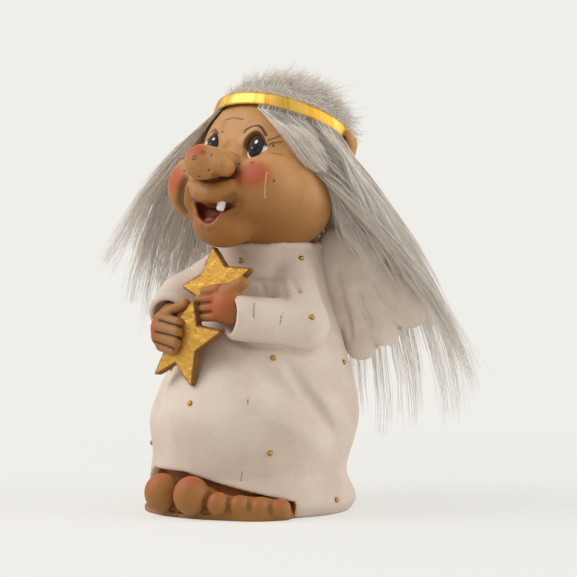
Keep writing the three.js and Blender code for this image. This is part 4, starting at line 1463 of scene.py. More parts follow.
def star_piece(name, star, corners, seed):
    """A thick star with rounded corners, a rough surface and a line round its side."""
    half = STAR_THICKNESS / 2
    outline = star_outline(corners)
    reach = np.abs(outline).max() + 2.5
    clay = Clay((-reach, -reach, -half - 1.2), (reach, reach, half + 1.2), GRID_STEPS["star"])
    x, y, z = clay.places()
    flat = polygon_distance(x, y, outline) - STAR_BLUNT
    depth = np.abs(z) - half
    body = -soft_min(-flat, -depth, 0.9)
    place = np.stack(np.broadcast_arrays(x, y, z), -1)
    rough = 0.16 * value_noise(place, 2.4, seed) + 0.10 * value_noise(place, 0.9, seed + 1)
    side = 1 - smooth_step(np.abs(z - LINE_LEVEL), 0.12, 0.38)
    clay.value[:] = body + rough + LINE_DEPTH * side * (depth < -0.2)
    points, quads = clay.skin()
    edge = polygon_distance(points[:, 0], points[:, 1], outline) - STAR_BLUNT
    rim = smooth_step(edge, -1.5, -0.2)
    lining = 1 - smooth_step(np.abs(points[:, 2] - LINE_LEVEL), 0.2, 0.5)
    side_face = smooth_step(edge, -0.75, -0.3) * (np.abs(points[:, 2]) < half - 0.3)
    placed = points @ star_matrix(star).T + np.array(star["centre"])
    marks = {"rim": rim, "side": side_face, "lining": lining * side_face}
    piece = mesh_piece(name, placed, quads, gilt_paint(name + "_gilt"), marks)
    finish_piece(piece, "gilt_paint", name)


def gilt_paint(name):
    """Brushed gold paint, with a brown wash at the rim and on the sides."""
    paint, place, colours = new_paint(name)
    patches = paint.noise(place, 0.35, 5, 0.65)
    fine = paint.noise(place, 2.2, 4, 0.65)
    strokes = paint.noise(place, 1.1, 4, 0.6, (0.6, 1.0, 1.9))
    rim, side, lining = (paint.value_of(key) for key in ("rim", "side", "lining"))
    base = paint.mix(patches.step(0.35, 0.65), colours.gilt, scaled(colours.gilt, 1.18))
    base = paint.mix(strokes.step(0.52, 0.72) * 0.35, base, (0.40, 0.20, 0.030))
    worn = rim * 0.80 + (fine - 0.45) * 0.9
    wash = (worn.step(0.32, 0.74) * 0.82).most(side * (0.48 + 0.5 * strokes)).most(lining * 0.95)
    base = paint.mix(wash, base, colours.gilt_wash)
    height = fine * 0.5 + strokes * 0.7 + patches * 0.4
    normal = paint.bump(height, 0.8, 0.25 * MM)
    return paint.finish(base, 0.38 + fine * 0.28, normal, metallic=0.62 - wash * 0.45)


class TROLL_OT_stars(bpy.types.Operator):
    """Models the two gilt stars"""

    bl_idname = "troll.stars"
    bl_label = "Stars"

    def execute(self, context):
        star_piece("upper_star", UPPER_STAR, UPPER_OUTLINE, 21)
        star_piece("lower_star", LOWER_STAR, LOWER_OUTLINE, 31)
        return {"FINISHED"}


# Feet

SOLE_RADIUS, SOLE_INNER, SOLE_HEIGHT, SOLE_BACK = 41.3, 26, 1.7, 17.0
LEFT_FROM, RIGHT_TO = 0.15, 0.05  # where the feet end beside the figure's middle plane
TOE_BED = ((8, -35, 6.5), (17, -33.2, 5.4), (23.4, -29.6, 5.0), (28.8, -25.2, 4.6), (33.4, -20, 4.0))
BALL_BED = ((1.5, -36.5, 2.4), (8, -37.8, 2.4), (15, -35.4, 2.4), (21, -32.6, 2.4))


def foot_place(points, right):
    """The right foot is the left one's mirror, turned about the big toe."""
    if not right:
        return points
    joint = np.array([-TOES[0][0][0], TOES[0][0][1], 0.0])
    mirrored_points = points * np.array([-1, 1, 1])
    return (mirrored_points - joint) @ turned("Z", -RIGHT_FOOT_TURN).T + joint


def foot_piece(name, right):
    """A foot with its toes and the thin sole round them, cut off at the middle plane."""
    clay = Clay((-3, -50, -0.6), (42, 2, 18), GRID_STEPS["foot"])
    clay.add(Egg(*FOOT))
    clay.add(Rod(TOES[0][0], (12, -27, 5.5), 4.6), 1.0)
    for centre, radii in TOES:
        clay.add(Egg(centre, radii), 1.5)
    for rod in chain(TOE_BED, 3.4) + chain(BALL_BED, 2.4):
        clay.add(rod, 1.6)
    x, y, z = clay.places()
    flat = foot_place(np.stack(np.broadcast_arrays(x, y, 0.0), -1), right)
    across, ahead = flat[..., 0], flat[..., 1]
    radius = np.hypot(across, ahead)
    sole = np.maximum(np.maximum(radius - SOLE_RADIUS, z - SOLE_HEIGHT), SOLE_INNER - radius)
    sole = -soft_min(-sole, -(ahead + SOLE_BACK), 5.0)
    clay.value[:] = soft_min(clay.value, sole, 1.2)
    clay.value[:] = np.maximum(clay.value, -z)
    clay.value[:] = np.maximum(clay.value, across - RIGHT_TO if right else LEFT_FROM - across)
    points, quads = clay.skin()
    # Brown wash and painted shade in the foot's hollows
    wash = clay.hollow(points, quads, (0.85, 0.9), (0.40, 2.6))
    # Painted shade on the part of the foot under the robe's hem
    behind = 1 - smooth_step(np.hypot(points[:, 0], points[:, 1]), 33, 38.5)
    wash = np.maximum(wash, 0.55 * behind * (points[:, 2] > 0.5))
    blush = np.zeros(len(points))
    for centre, radii in TOES:
        top = np.array(centre) + np.array([0, -0.5, 0.75]) * np.array(radii)
        blush = np.maximum(blush, blob(points, top, np.array(radii) * 1.15))
    placed = foot_place(points, right)
    if right:
        quads = quads[:, ::-1]
    paint = skin_paint(name + "_paint")
    marks = {"wash": wash, "blush": 0.6 * blush, "tan": np.full(len(points), 1.0)}
    foot = mesh_piece(name, placed, quads, paint, marks)
    finish_piece(foot, "skin_paint", name)


class TROLL_OT_feet(bpy.types.Operator):
    """Models the feet under the hem"""

    bl_idname = "troll.feet"
    bl_label = "Feet"

    def execute(self, context):
        foot_piece("left_foot", False)
        foot_piece("right_foot", True)
        return {"FINISHED"}


# Wings


class Feather:
    """A flattened, round-ended rod in the wing's own plane."""

    def __init__(self, start, end, width, thick):
        bearing, lean = np.radians(WING_BEARING), np.radians(WING_LEAN)
        axis = np.array([np.cos(bearing), np.sin(bearing), 0.0])
        facing = np.array([axis[1], -axis[0], np.sin(lean)])
        root = np.array([*WING_ROOT, 0.0])
        self.start = root + axis * start[0] + np.array([0, 0, start[1]])
        self.end = root + axis * end[0] + np.array([0, 0, end[1]])
        along = self.end - self.start
        self.length = np.linalg.norm(along)
        self.along = along / self.length
        side = np.cross(self.along, facing)
        self.side = side / np.linalg.norm(side)
        self.facing = np.cross(self.side, self.along)
        self.width = width
        self.flat = thick * WING_THICKNESS / width
        self.low = np.minimum(self.start, self.end) - width - 1
        self.high = np.maximum(self.start, self.end) + width + 1

    def local(self, x, y, z):
        """Places across the feather, along it and through it."""
        x, y, z = x - self.start[0], y - self.start[1], z - self.start[2]
        return [x * v[0] + y * v[1] + z * v[2] for v in (self.side, self.along, self.facing)]

    def __call__(self, x, y, z):
        across, along, deep = self.local(x, y, z)
        past = along - np.clip(along, 0, self.length)
        outer = np.sqrt(across**2 + past**2 + (deep / self.flat) ** 2) / self.width
        reach = np.sqrt(across**2 + past**2 + (deep / self.flat**2) ** 2) / self.width**2
        return outer * (outer - 1) / np.maximum(reach, 1e-6)


def wing_paint(name):
    """White paint, darkened between the feathers by a thin wash and painted shade."""
    paint, place, colours = new_paint(name + "_paint")
    cloudy, fine = paint.noise(place, 0.10, 4, 0.6), paint.noise(place, 1.1, 3, 0.6)
    grain = paint.noise(place, 3.0, 2, 0.5)
    shade = paint.value_of("crease")
    base = paint.mix(cloudy.step(0.3, 0.7) * 0.6, colours.wing, (0.67, 0.555, 0.465))
    # Painted shade and a thin wash in the creases between the feathers
    wash = (shade + (fine - 0.5) * 0.2).step(0.08, 0.6) * 0.75
    base = paint.mix(wash, base, colours.robe_wash_and_shade)
    normal = paint.bump(fine * 0.6 + grain * 0.4, 0.5, 0.12 * MM)
    return paint.finish(base, 0.52 + fine * 0.2, normal, specular=0.35)


def wing_piece(name, right):
    """A wing of joined feathers, with their lines pressed into both faces."""
    feathers = [Feather(*feather) for feather in FEATHERS]
    low = np.min([feather.low for feather in feathers], axis=0) - 1
    high = np.max([feather.high for feather in feathers], axis=0) + 1
    clay = Clay(low, high, GRID_STEPS["wing"])
    for feather in feathers:
        clay.add(feather, 0.5)
    place = np.stack(np.broadcast_arrays(*clay.places()), -1)
    clay.value += (0.22 * value_noise(place, 6.0, 51)).astype(np.float32)
    bearing = np.radians(WING_BEARING)
    for line in FEATHER_LINES:
        places = resampled([
            (WING_ROOT[0] + out * np.cos(bearing), WING_ROOT[1] + out * np.sin(bearing), height)
            for out, height in line
        ], 1.5)
        for way in (1, -1):
            groove = seated(clay, places, np.array(VIEW_WAY) * way, 12)
            clay.press(chain(groove, 0.1), 0.75, 0.9)
    points, quads = clay.skin()
    crease = clay.hollow(points, quads, (0.6, 1.2), (0.5, 3.2))
    if right:
        points = points * np.array([-1, 1, 1])
        quads = quads[:, ::-1]
    wing = mesh_piece(name, points, quads, wing_paint(name), {"crease": crease})
    finish_piece(wing, "wing_paint", name)


class TROLL_OT_wings(bpy.types.Operator):
    """Models the two wings"""

    bl_idname = "troll.wings"
    bl_label = "Wings"

    def execute(self, context):
        wing_piece("left_wing", False)
        wing_piece("right_wing", True)
        return {"FINISHED"}


# Geometry Nodes


class Recipe:
    """A Geometry Nodes tree with named inputs, used once and turned into a plain mesh."""

    def __init__(self, name):
        self.tree = bpy.data.node_groups.new(name, "GeometryNodeTree")
        self.interface("Geometry", "NodeSocketGeometry")
        self.tree.interface.new_socket(
            name="Geometry", in_out="OUTPUT", socket_type="NodeSocketGeometry"
        )
        self.input = self.tree.nodes.new("NodeGroupInput")
        self.output = self.tree.nodes.new("NodeGroupOutput")

    def interface(self, name, kind, default=None):
        """A named input of the tree."""
        socket = self.tree.interface.new_socket(name=name, in_out="INPUT", socket_type=kind)
        if default is not None:
            socket.default_value = default
        return socket.identifier

    def given(self, name):
        """What a named input brings in."""
        return self.input.outputs[name]

    def node(self, kind, settings=None, values=None):
        """A new node, with its settings, values and links."""
        made = self.tree.nodes.new(kind)
        for key, value in (settings or {}).items():
            setattr(made, key, value)
        for key, value in (values or {}).items():
            if isinstance(value, bpy.types.NodeSocket):
                self.tree.links.new(value, made.inputs[key])
            else:
                made.inputs[key].default_value = value
        return made

    def finish(self, geometry, material):
        """Ends the tree with plain geometry in one material."""
        whole = self.node("GeometryNodeRealizeInstances", {}, {"Geometry": geometry})
        painted = self.node(
            "GeometryNodeSetMaterial", {}, {"Geometry": whole.outputs[0], "Material": material}
        )
        self.tree.links.new(painted.outputs[0], self.output.inputs[0])

    def make(self, name, source, inputs):
        """Runs the recipe on the source object and gives a plain mesh object."""
        bpy.context.scene.collection.objects.link(source)
        modifier = source.modifiers.new("recipe", "NODES")
        modifier.node_group = self.tree
        for identifier, value in inputs.items():
            modifier[identifier] = value
        depsgraph = bpy.context.evaluated_depsgraph_get()
        mesh = bpy.data.meshes.new_from_object(source.evaluated_get(depsgraph))
        source.modifiers.remove(modifier)
        bpy.data.objects.remove(source)
        mesh.name = name
        made = bpy.data.objects.new(name, mesh)
        bpy.context.scene.collection.objects.link(made)
        return made


# Beads


def bead_paint():
    """Bright gilt with duller patches."""
    paint, place, colours = new_paint("bead_gilt")
    fine = paint.noise(place, 2.6, 3, 0.6)
    base = paint.mix(fine.step(0.4, 0.7), colours.gilt, scaled(colours.gilt, 0.5))
    normal = paint.bump(fine, 0.5, 0.08 * MM)
    return paint.finish(base, 0.28 + fine * 0.2, normal, metallic=0.8)


class TROLL_OT_beads(bpy.types.Operator):
    """Sets the gilt beads in the robe"""

    bl_idname = "troll.beads"
    bl_label = "Beads"

    def execute(self, context):
        robe = next(piece for piece in bpy.data.objects
                    if piece.type == "MESH" and "under" in piece.data.attributes)
        seats = bead_seats(robe)
        mesh = bpy.data.meshes.new("bead_seats")
        mesh.from_pydata([tuple((centre + out * 0.25) * MM) for centre, out in seats], [], [])
        facing = mesh.attributes.new("facing", "FLOAT_VECTOR", "POINT")
        facing.data.foreach_set("vector", np.array([out for _, out in seats]).ravel())
        recipe = Recipe("beads")
        radius = recipe.interface("Radius", "NodeSocketFloat", 1.0 * MM)
        segments = recipe.interface("Segments", "NodeSocketInt", 12)
        ball = recipe.node("GeometryNodeMeshUVSphere", {}, {
            "Segments": recipe.given("Segments"), "Rings": 7, "Radius": recipe.given("Radius"),
        })
        smooth = recipe.node("GeometryNodeSetShadeSmooth", {}, {"Geometry": ball.outputs[0]})
        facing = recipe.node("GeometryNodeInputNamedAttribute", {"data_type": "FLOAT_VECTOR"}, {
            "Name": "facing",
        })
        turn = recipe.node("FunctionNodeAlignRotationToVector", {"axis": "Z"}, {
            "Vector": facing.outputs[0],
        })
        set_out = recipe.node("GeometryNodeInstanceOnPoints", {}, {
            "Points": recipe.given("Geometry"), "Instance": smooth.outputs[0],
            "Rotation": turn.outputs[0], "Scale": (1.0, 1.0, 0.72),
        })
        recipe.finish(set_out.outputs[0], bead_paint())
        source = bpy.data.objects.new("bead_seats", mesh)
        sizes = context.scene.troll_sizes
        beads = recipe.make("beads", source, {radius: sizes.bead_radius, segments: 14})
        nodes = ["stud_%d" % (number + 1) for number in range(len(STUDS))]
        finish_piece(beads, "stud_brass", *nodes)
        return {"FINISHED"}


# Headband


class TROLL_OT_headband(bpy.types.Operator):
    """Wraps the foil ribbon round the head"""

    bl_idname = "troll.headband"
    bl_label = "Headband"

    def execute(self, context):
        around = 360
        angles = np.arange(around, dtype=float)
        half = BAND_WIDTH / 2
        section = [(share, 0.5) for share in np.linspace(-1, 1, 7)]
        section += [(share, 0.0) for share in np.linspace(1, -1, 7)]
        wave = 0.10 * value_noise(np.stack([angles * 0.3, angles * 0, angles * 0], -1), 3.0, 8)
        rows = []
        for share, out in section:
            crown = 0.16 * (1 - share**2)
            place = on_skull(angles, 0.0, BAND_PADDING + out + (crown + wave if out else wave))
            place[:, 2] = share * half
            rows.append(from_head(band_to_head(place)))
        points = np.concatenate(rows)
        numbers = np.arange(len(points)).reshape(-1, around)
        faces = grid_faces(np.pad(numbers, ((0, 1), (0, 1)), "wrap"))
        band = mesh_piece("headband", points, faces, self.foil(context))
        finish_piece(band, "gold_foil", "headband")
        return {"FINISHED"}

    def foil(self, context):
        """Metallised ribbon with fine cross ribs and crinkles, and brighter bands of painted
        reflection.
        """
        paint, place, colours = new_paint("foil")
        centre = paint.vector("SUBTRACT", place, tuple(HEAD_CENTRE))
        x, y = (paint.node("ShaderNodeSeparateXYZ", {}, {0: centre}, axis) for axis in (0, 1))
        turn = x.maths("ARCTAN2", y) / (2 * np.pi)
        ribs = (turn * (context.scene.troll_sizes.foil_ribs * 2 * np.pi)).maths("SINE") * 0.5 + 0.5
        lines = paint.noise(turn * 90.0, 1.0, 2, 0.5)
        crinkles_and_reflection = paint.noise(turn * 14.0, 1.0, 1, 0.5)
        fine = paint.noise(place, 1.8, 3, 0.6)
        # Brighter bands in steps along the ribbon: painted reflection
        base = paint.mix(crinkles_and_reflection.step(0.46, 0.52) * 0.8, colours.foil, (0.72, 0.46, 0.105))
        base = paint.mix(lines.step(0.35, 0.7) * 0.35, base, (0.74, 0.46, 0.085))
        base = paint.mix(fine.step(0.62, 0.8) * 0.3, base, (0.70, 0.38, 0.05))
        normal = paint.bump(ribs * 0.4 + crinkles_and_reflection * 2.2 + lines * 0.6, 0.5, 0.10 * MM)
        return paint.finish(base, 0.33 + lines * 0.14, normal, metallic=0.9)


# Hair

LOCK_BULGE, LOCK_REACH, LOCK_DEPTH, WIG_SEAT = 6.0, 0.45, 8.0, 0.5
FAR_SWELL, FAR_RISE = 6.0, 4.0
SHORTEST, LONGEST = 0.26, 1.06  # shares of the whole length
EAR_FROM, EAR_TO, EAR_FADE, EAR_FOOT = 74.0, 100.0, 12.0, -18.0
LOCKS = (
    ("left_lock", HAIR_FROM, NAPE, 2800, ((13, 2.0), (45, 2.1), (75, 2.3), (104, 2.0))),
    ("right_lock", 360 - NAPE, HAIR_TO, 2000, ((256, 1.4), (290, 1.2), (310, 1.6), (327, 2.4))),
    ("back_lock", NAPE - 2, 362 - NAPE, 3400, ((102, 1.4), (150, 1.2), (200, 1.4), (258, 1.4))),
)  # name, angles, number of hairs, and how fast they thin out at an angle
CROWN_HAIRS, CROWN_LENGTHS = 4200, (5.5, 9.6)
TEMPLE_HAIRS, TEMPLE_FROM, TEMPLE_TO = 700, 58.0, 88.0
TEMPLE_LIFT, TEMPLE_REACH = 5.6, (0.22, 0.55)
BACKING_REACH = 0.14  # of the hair's length


def ends_at(angles):
    """The ends of the hair: a smooth curve through TIPS, by the angle from the front."""
    tips = np.array(TIPS, float)
    share = np.clip((angles - HAIR_FROM) / (HAIR_TO - HAIR_FROM), 0, 1) * (len(tips) - 1)
    i = np.clip(share.astype(int), 0, len(tips) - 2)
    t = (share - i)[:, None]
    before, after = tips[np.maximum(i - 1, 0)], tips[np.minimum(i + 2, len(tips) - 1)]
    a, b = tips[i], tips[i + 1]
    return 0.5 * (
        2 * a + (b - before) * t + (2 * before - 5 * a + 4 * b - after) * t**2
        + (3 * a - before - 3 * b + after) * t**3
    )


def head_distance(points):
    """The distance to the head with its cheeks, at points in the head's frame."""
    x, y, z = np.moveaxis(points, -1, 0)
    distance = skull_distance(points)
    for cheek in (CHEEK, mirrored(CHEEK)):
        distance = soft_min(distance, Egg(*cheek)(x, y, z), 4.0)
    return distance


def off_head(strands, clearance):
    """Lifts the hairs' points off the head, where they come nearer to it than the clearance."""
    places = to_head(strands)
    for _ in range(3):
        off = head_distance(places)
        nudge = 0.2
        slope = np.stack([
            head_distance(places + nudge * np.eye(3)[axis]) - off for axis in range(3)
        ], -1)
        slope /= np.maximum(np.linalg.norm(slope, axis=-1, keepdims=True), 1e-6)
        places = places + slope * np.maximum(clearance - off, 0)[..., None]
    return from_head(places)


def roots_at(angles, depth):
    """Two points of each hair: one under the band, and one where it comes out below it."""
    aside = np.minimum(angles, 360 - angles)
    ear = smooth_step(aside, EAR_FROM - EAR_FADE, EAR_FROM)
    ear *= 1 - smooth_step(aside, EAR_TO, EAR_TO + EAR_FADE)
    under = EAR_FOOT * ear
    out = WIG_SEAT + 1.3 * depth
    first = on_skull(angles, under, out)
    second = on_skull(angles, under - BAND_WIDTH / 2 - 2.0, out + 0.3)
    return from_head(band_to_head(first)), from_head(band_to_head(second))


def bent(root, bend, end, share):
    """Points at shares of the curves from each root to its end, drawn towards its bend."""
    root, bend, end = root[:, None], bend[:, None], end[:, None]
    return root * (1 - share) ** 2 + 2 * bend * share * (1 - share) + end * share**2


def hair_sheet(angles, depth, along):
    """Points of hairs at so much of their length, from the band's lower edge to the ends."""
    _, root = roots_at(angles, depth)
    end = ends_at(angles)
    outward = np.stack([end[:, 0], end[:, 1] - HEAD_CENTRE[1], np.zeros(len(end))], -1)
    outward /= np.linalg.norm(outward, axis=1, keepdims=True)
    from_edge = np.minimum(angles - HAIR_FROM, HAIR_TO - angles)
    far_side = smooth_step(angles, 262, 285) * smooth_step(HAIR_TO - angles, -6, 14)
    lift = LOCK_BULGE * smooth_step(from_edge, 6, 60) + LOCK_DEPTH * depth + FAR_SWELL * far_side
    bend = root + (end - root) * LOCK_REACH + outward * lift[:, None]
    bend[:, 2] += FAR_RISE * far_side
    return bent(root, bend, end, np.asarray(along, float)[..., None])


def strand_recipe(material):
    """Turns lines into thin three-sided hairs that taper."""
    recipe = Recipe("hairs")
    radius = recipe.interface("Radius", "NodeSocketFloat", 0.1 * MM)
    curves = recipe.node("GeometryNodeMeshToCurve", {}, {"Mesh": recipe.given("Geometry")})
    ring = recipe.node("GeometryNodeCurvePrimitiveCircle", {}, {
        "Resolution": 3, "Radius": recipe.given("Radius"),
    })
    thick = recipe.node("GeometryNodeInputNamedAttribute", {"data_type": "FLOAT"}, {"Name": "thick"})
    tubes = recipe.node("GeometryNodeCurveToMesh", {}, {
        "Curve": curves.outputs[0], "Profile Curve": ring.outputs[0],
        "Scale": thick.outputs[0], "Fill Caps": True,
    })
    smooth = recipe.node("GeometryNodeSetShadeSmooth", {}, {"Geometry": tubes.outputs[0]})
    recipe.finish(smooth.outputs[0], material)
    return recipe, radius


def strands_piece(name, context, strands, shades, material, node):
    """One piece from strands, an array of hairs by points by three, in millimetres."""
    count, steps, _ = strands.shape
    share = np.linspace(0, 1, steps)
    mesh = bpy.data.meshes.new(name + "_lines")
    mesh.vertices.add(count * steps)
    mesh.vertices.foreach_set("co", (strands * MM).astype(np.float32).ravel())
    index = np.arange(count * steps).reshape(count, steps)
    edges = np.stack([index[:, :-1], index[:, 1:]], -1).reshape(-1, 2)
    mesh.edges.add(len(edges))
    mesh.edges.foreach_set("vertices", edges.astype(np.int32).ravel())
    thick = np.broadcast_to(1 - 0.75 * share**2.2, (count, steps))
    shade = np.broadcast_to(shades[:, None], (count, steps))
    along = np.broadcast_to(share, (count, steps))
    keep_values(mesh, {"thick": thick, "shade": shade, "along": along})
    recipe, radius = strand_recipe(material)
    source = bpy.data.objects.new(name + "_lines", mesh)
    piece = recipe.make(name, source, {radius: context.scene.troll_sizes.hair_radius})
    finish_piece(piece, "wig_fur", node)


def hair_paint():
    """Grey fibre, darker at the root and from hair to hair, with pale ends."""
    paint, place, colours = new_paint("hair_fibre")
    shade, along = paint.value_of("shade"), paint.value_of("along")
    patch = paint.noise(place, 0.08, 3, 0.6)
    dark = 1.12 - shade * 1.05 - along.step(0.05, 0.5) * 0.68 + (patch - 0.5) * 0.5
    dark = dark.most(0.0).least(1.0)
    base = paint.mix(dark, colours.hair, colours.hair_dark)
    base = paint.mix(along.step(0.35, 0.9) * 0.65, base, (0.95, 0.91, 0.86))
    return paint.finish(base, 0.42, specular=0.35)


def core_paint():
    """The felted fur under the hairs."""
    paint, place, colours = new_paint("fur_backing")
    streaks = paint.noise(place, 1.6, 4, 0.7, (1.0, 1.0, 0.12))
    base = paint.mix(streaks.step(0.3, 0.7), colours.hair_dark, colours.hair)
    base = paint.mix(0.35, base, (0.20, 0.17, 0.14))
    return paint.finish(base, 0.85, paint.bump(streaks, 0.8, 0.4 * MM))


def tufted(strands, random, tufts, pull):
    """Draws each hair's end towards that of its tuft's leader, and gives the hairs' tufts."""
    count, steps, _ = strands.shape
    leaders = random.integers(0, count, tufts)
    order = np.linalg.norm(
        strands[:, None, -2] - strands[None, leaders, -2], axis=2
    ).argmin(axis=1)
    share = (np.linspace(0, 1, steps) ** 1.5)[None, :, None]
    target = strands[leaders[order]]
    amount = pull * random.uniform(0.55, 1.0, (count, 1, 1))
    return strands + (target - strands) * share * amount, order


def wandering(strands, scale, seed):
    """Smooth shifts, alike for points that lie together."""
    return np.stack([value_noise(strands, scale, seed + axis) for axis in range(3)], -1)


def lock_strands(low, high, count, seed, thinning, steps=9):
    """Hairs of one lock: thick at the roots, with fewer the nearer they come to the ends."""
    random = np.random.default_rng(seed)
    angles = random.uniform(low, high, count)
    depth = random.uniform(0, 1, count) ** 1.3
    fall = np.interp(angles, *np.array(thinning, float).T)
    length = SHORTEST + (LONGEST - SHORTEST) * random.uniform(0, 1, count) ** fall
    share = np.linspace(0, 1, steps - 1)
    first, _ = roots_at(angles, depth)
    strands = hair_sheet(angles, depth, share * length[:, None])
    strands = np.concatenate([first[:, None], strands], 1)
    grow = np.concatenate([[0.0], share])[None, :, None] * length[:, None, None]
    loose = random.normal(0, 1, (count, 1, 3))
    loose *= np.where(random.random((count, 1, 1)) < 0.11, 3.2, 1.0)
    strands += wandering(strands, 30.0, seed) * 3.8 * grow
    strands += wandering(strands, 8.0, seed + 7) * 1.3 * grow
    strands += loose * 2.2 * grow**1.6
    tufts = max(count // 12, 8)
    strands, tuft = tufted(strands, random, tufts, 0.78)
    strands += random.normal(0, 0.55, (count, 1, 3)) * grow
    clearance = 0.6 + 2.8 * depth[:, None] * smooth_step(grow[..., 0], 0.03, 0.3)
    strands[:, 2:] = off_head(strands[:, 2:], clearance[:, 2:])
    shades = 0.5 + 0.26 * random.normal(0, 1, count) + 0.22 * random.normal(0, 1, tufts)[tuft]
    shades = np.clip(shades, 0, 1)
    return strands, shades


def crown_strands(count, seed, steps=5):
    """Short fur that springs from the skull over the band and is combed back."""
    random = np.random.default_rng(seed)
    turn = random.uniform(0, 2 * np.pi, count)
    rise = np.arcsin(random.uniform(0.0, 1.0, count) ** 0.8)
    outward = np.stack([np.cos(rise) * np.sin(turn), -np.cos(rise) * np.cos(turn), np.sin(rise)], -1)
    centre = np.array([0.0, SKULL[0][1], BAND_HEIGHT + 1.5])
    centre[2] += np.tan(np.radians(BAND_TILT)) * centre[1]
    outward = outward @ BAND_TURN.T
    reach = np.full((count, 1), 30.0)
    for _ in range(20):
        reach -= skull_distance(centre + outward * reach)[:, None]
    root = centre + outward * (reach + 0.8)
    normal = root - np.array(SKULL[0])
    normal /= np.linalg.norm(normal, axis=1, keepdims=True)
    back = np.array([0.35, 1.0, 0.35])
    comb = back - normal * (normal @ back)[:, None]
    comb /= np.maximum(np.linalg.norm(comb, axis=1, keepdims=True), 1e-9)
    length = random.uniform(*CROWN_LENGTHS, count)[:, None]
    on_top, behind = smooth_step(normal[:, 2:3], 0.4, 0.9), smooth_step(root[:, 1:2], 8, 28)
    length *= 0.85 + 0.40 * on_top - 0.35 * behind
    length *= 1 - 0.2 * smooth_step(-root[:, 1:2], 2, 22)
    stray = random.normal(0, 0.18, (count, 3))
    rows = []
    for step in np.linspace(0, 1, steps):
        lean = smooth_step(step, -0.3, 0.8)
        way = normal * (0.86 - 0.26 * lean) + comb * (0.22 + 0.55 * lean) + stray * (0.4 + step)
        rows.append(root + way * length * step)
    strands = from_head(np.stack(rows, 1))
    strands += wandering(strands, 7.0, seed) * 0.8 * np.linspace(0, 1, steps)[None, :, None]
    tufts = max(count // 9, 8)
    strands, tuft = tufted(strands, random, tufts, 0.6)
    shades = 0.32 + 0.26 * random.normal(0, 1, count) + 0.22 * random.normal(0, 1, tufts)[tuft]
    shades = np.clip(shades, 0, 1)
    return strands, shades


def temple_strands(count, seed, steps=7):
    """Hairs from under the band that pass over the ears and join the locks."""
    random = np.random.default_rng(seed)
    angles = random.uniform(TEMPLE_FROM, TEMPLE_TO, count)
    turns = np.where(random.random(count) < 0.5, angles, 360 - angles)
    depth = random.uniform(0.4, 1.2, count)
    first = on_skull(turns, -BAND_WIDTH / 2 + 0.8, 0.8 + depth)
    middle = on_skull(turns, -8.0, TEMPLE_LIFT + 2.0 * depth)
    first, middle = (from_head(band_to_head(points)) for points in (first, middle))
    reach = random.uniform(*TEMPLE_REACH, count)
    last = hair_sheet(turns, depth, reach[:, None])[:, 0]
    last += random.normal(0, 1.0, (count, 3))
    share = np.linspace(0, 1, steps)[None, :, None]
    strands = bent(first, middle, last, share)
    strands += wandering(strands, 9.0, seed) * 0.8 * share
    strands, _ = tufted(strands, random, max(count // 7, 4), 0.4)
    return strands, np.clip(0.5 + 0.28 * random.normal(0, 1, count), 0, 1)


def core_piece(name, low, high, columns, node):
    """The felted fur that a lock grows from, close under the band."""
    rows = 6
    turns = np.linspace(low, high, columns)
    layers = []
    along = np.tile(np.linspace(0, BACKING_REACH, rows), (columns, 1))
    for depth in (0.0, 0.3):
        sheet = hair_sheet(turns, np.full(columns, depth), along)
        sheet = off_head(sheet, np.full(sheet.shape[:2], 0.3 + 1.2 * depth))
        layers.append(np.swapaxes(sheet, 0, 1).reshape(-1, 3))
    inner, outer = np.arange(2 * rows * columns).reshape(2, rows, columns)
    rim = np.stack([
        np.concatenate([side[0], side[1:, -1], side[-1, -2::-1], side[-2::-1, 0]])
        for side in (inner, outer)
    ])
    faces = np.vstack([grid_faces(inner), grid_faces(outer.T), grid_faces(rim.T)])
    core = mesh_piece(name, np.concatenate(layers), faces, core_paint())
    finish_piece(core, "wig_fur", node)


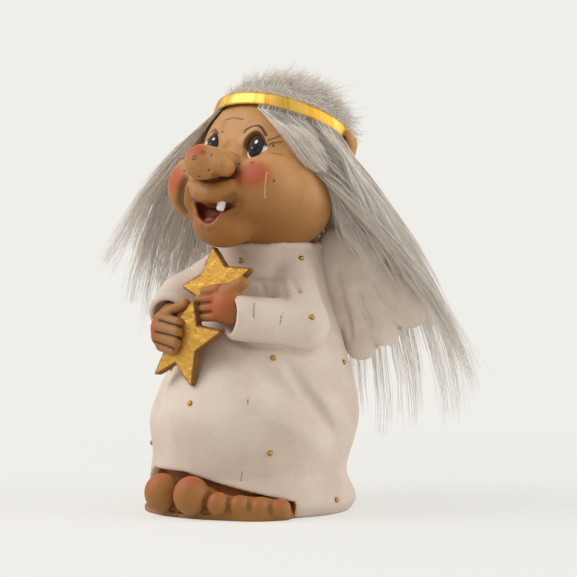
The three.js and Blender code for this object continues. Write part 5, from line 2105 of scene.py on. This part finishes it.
class TROLL_OT_hair(bpy.types.Operator):
    """Plants the wig: crown fur, side locks and back lock"""

    bl_idname = "troll.hair"
    bl_label = "Hair"

    def execute(self, context):
        share = context.scene.troll_sizes.hair_share * 1.0
        material = hair_paint()
        for name, low, high, count, thinning in LOCKS:
            core_piece(name + "_backing", low + 1, high - 1, 40, name)
            strands, shades = lock_strands(low, high, int(count * share), int(low), thinning)
            strands_piece(name + "_hairs", context, strands, shades, material, name)
        strands, shades = crown_strands(int(CROWN_HAIRS * share), 7)
        strands_piece("crown_hairs", context, strands, shades, material, "crown_fur")
        strands, shades = temple_strands(int(TEMPLE_HAIRS * share), 19)
        strands_piece("temple_hairs", context, strands, shades, material, "crown_fur")
        self.cap()
        return {"FINISHED"}

    def cap(self):
        """The felted cap that the crown's fur grows from."""
        clay = Clay((-34, -34, 10), (34, 38, 38), GRID_STEPS["cap"])
        x, y, z = SKULL[0]
        clay.add(Egg((x, y, z + 1.7), tuple(part + 1.8 for part in SKULL[1])))
        x, y, z = clay.places()
        level = BAND_HEIGHT + np.tan(np.radians(BAND_TILT)) * y + 0.5
        clay.value[:] = np.maximum(clay.value, level - z)
        points, quads = clay.skin()
        cap = mesh_piece("crown_cap", from_head(points), quads, core_paint())
        finish_piece(cap, "wig_fur", "crown_fur")


# Panel and running


class TROLL_PT_panel(bpy.types.Panel):
    """The figurine's pieces"""

    bl_idname = "TROLL_PT_panel"
    bl_label = "Troll figurine"
    bl_space_type = "VIEW_3D"
    bl_region_type = "UI"
    bl_category = "Troll"

    def draw(self, context):
        for piece in PIECES:
            self.layout.operator(piece.bl_idname)


PIECES = (
    TROLL_OT_stage,
    TROLL_OT_robe,
    TROLL_OT_head,
    TROLL_OT_eyes,
    TROLL_OT_hands,
    TROLL_OT_stars,
    TROLL_OT_feet,
    TROLL_OT_wings,
    TROLL_OT_beads,
    TROLL_OT_headband,
    TROLL_OT_hair,
)
GROUPS = (TrollSizes, TrollColours, TrollStudio)
CLASSES = GROUPS + PIECES + (TROLL_PT_panel,)


def register():
    """Adds the operators, the panel and what a user can change."""
    for one in CLASSES:
        bpy.utils.register_class(one)
    bpy.types.Scene.troll_sizes = PointerProperty(type=TrollSizes)
    bpy.types.Scene.troll_colours = PointerProperty(type=TrollColours)
    bpy.types.Scene.troll_studio = PointerProperty(type=TrollStudio)


def unregister():
    """Takes away what register added."""
    for name in ("troll_sizes", "troll_colours", "troll_studio"):
        delattr(bpy.types.Scene, name)
    for one in reversed(CLASSES):
        bpy.utils.unregister_class(one)


def main():
    """Makes the whole figurine and its stage."""
    register()
    for piece in PIECES:
        name = piece.bl_idname.split(".")[1]
        getattr(bpy.ops.troll, name)()


if __name__ == "__main__":
    main()
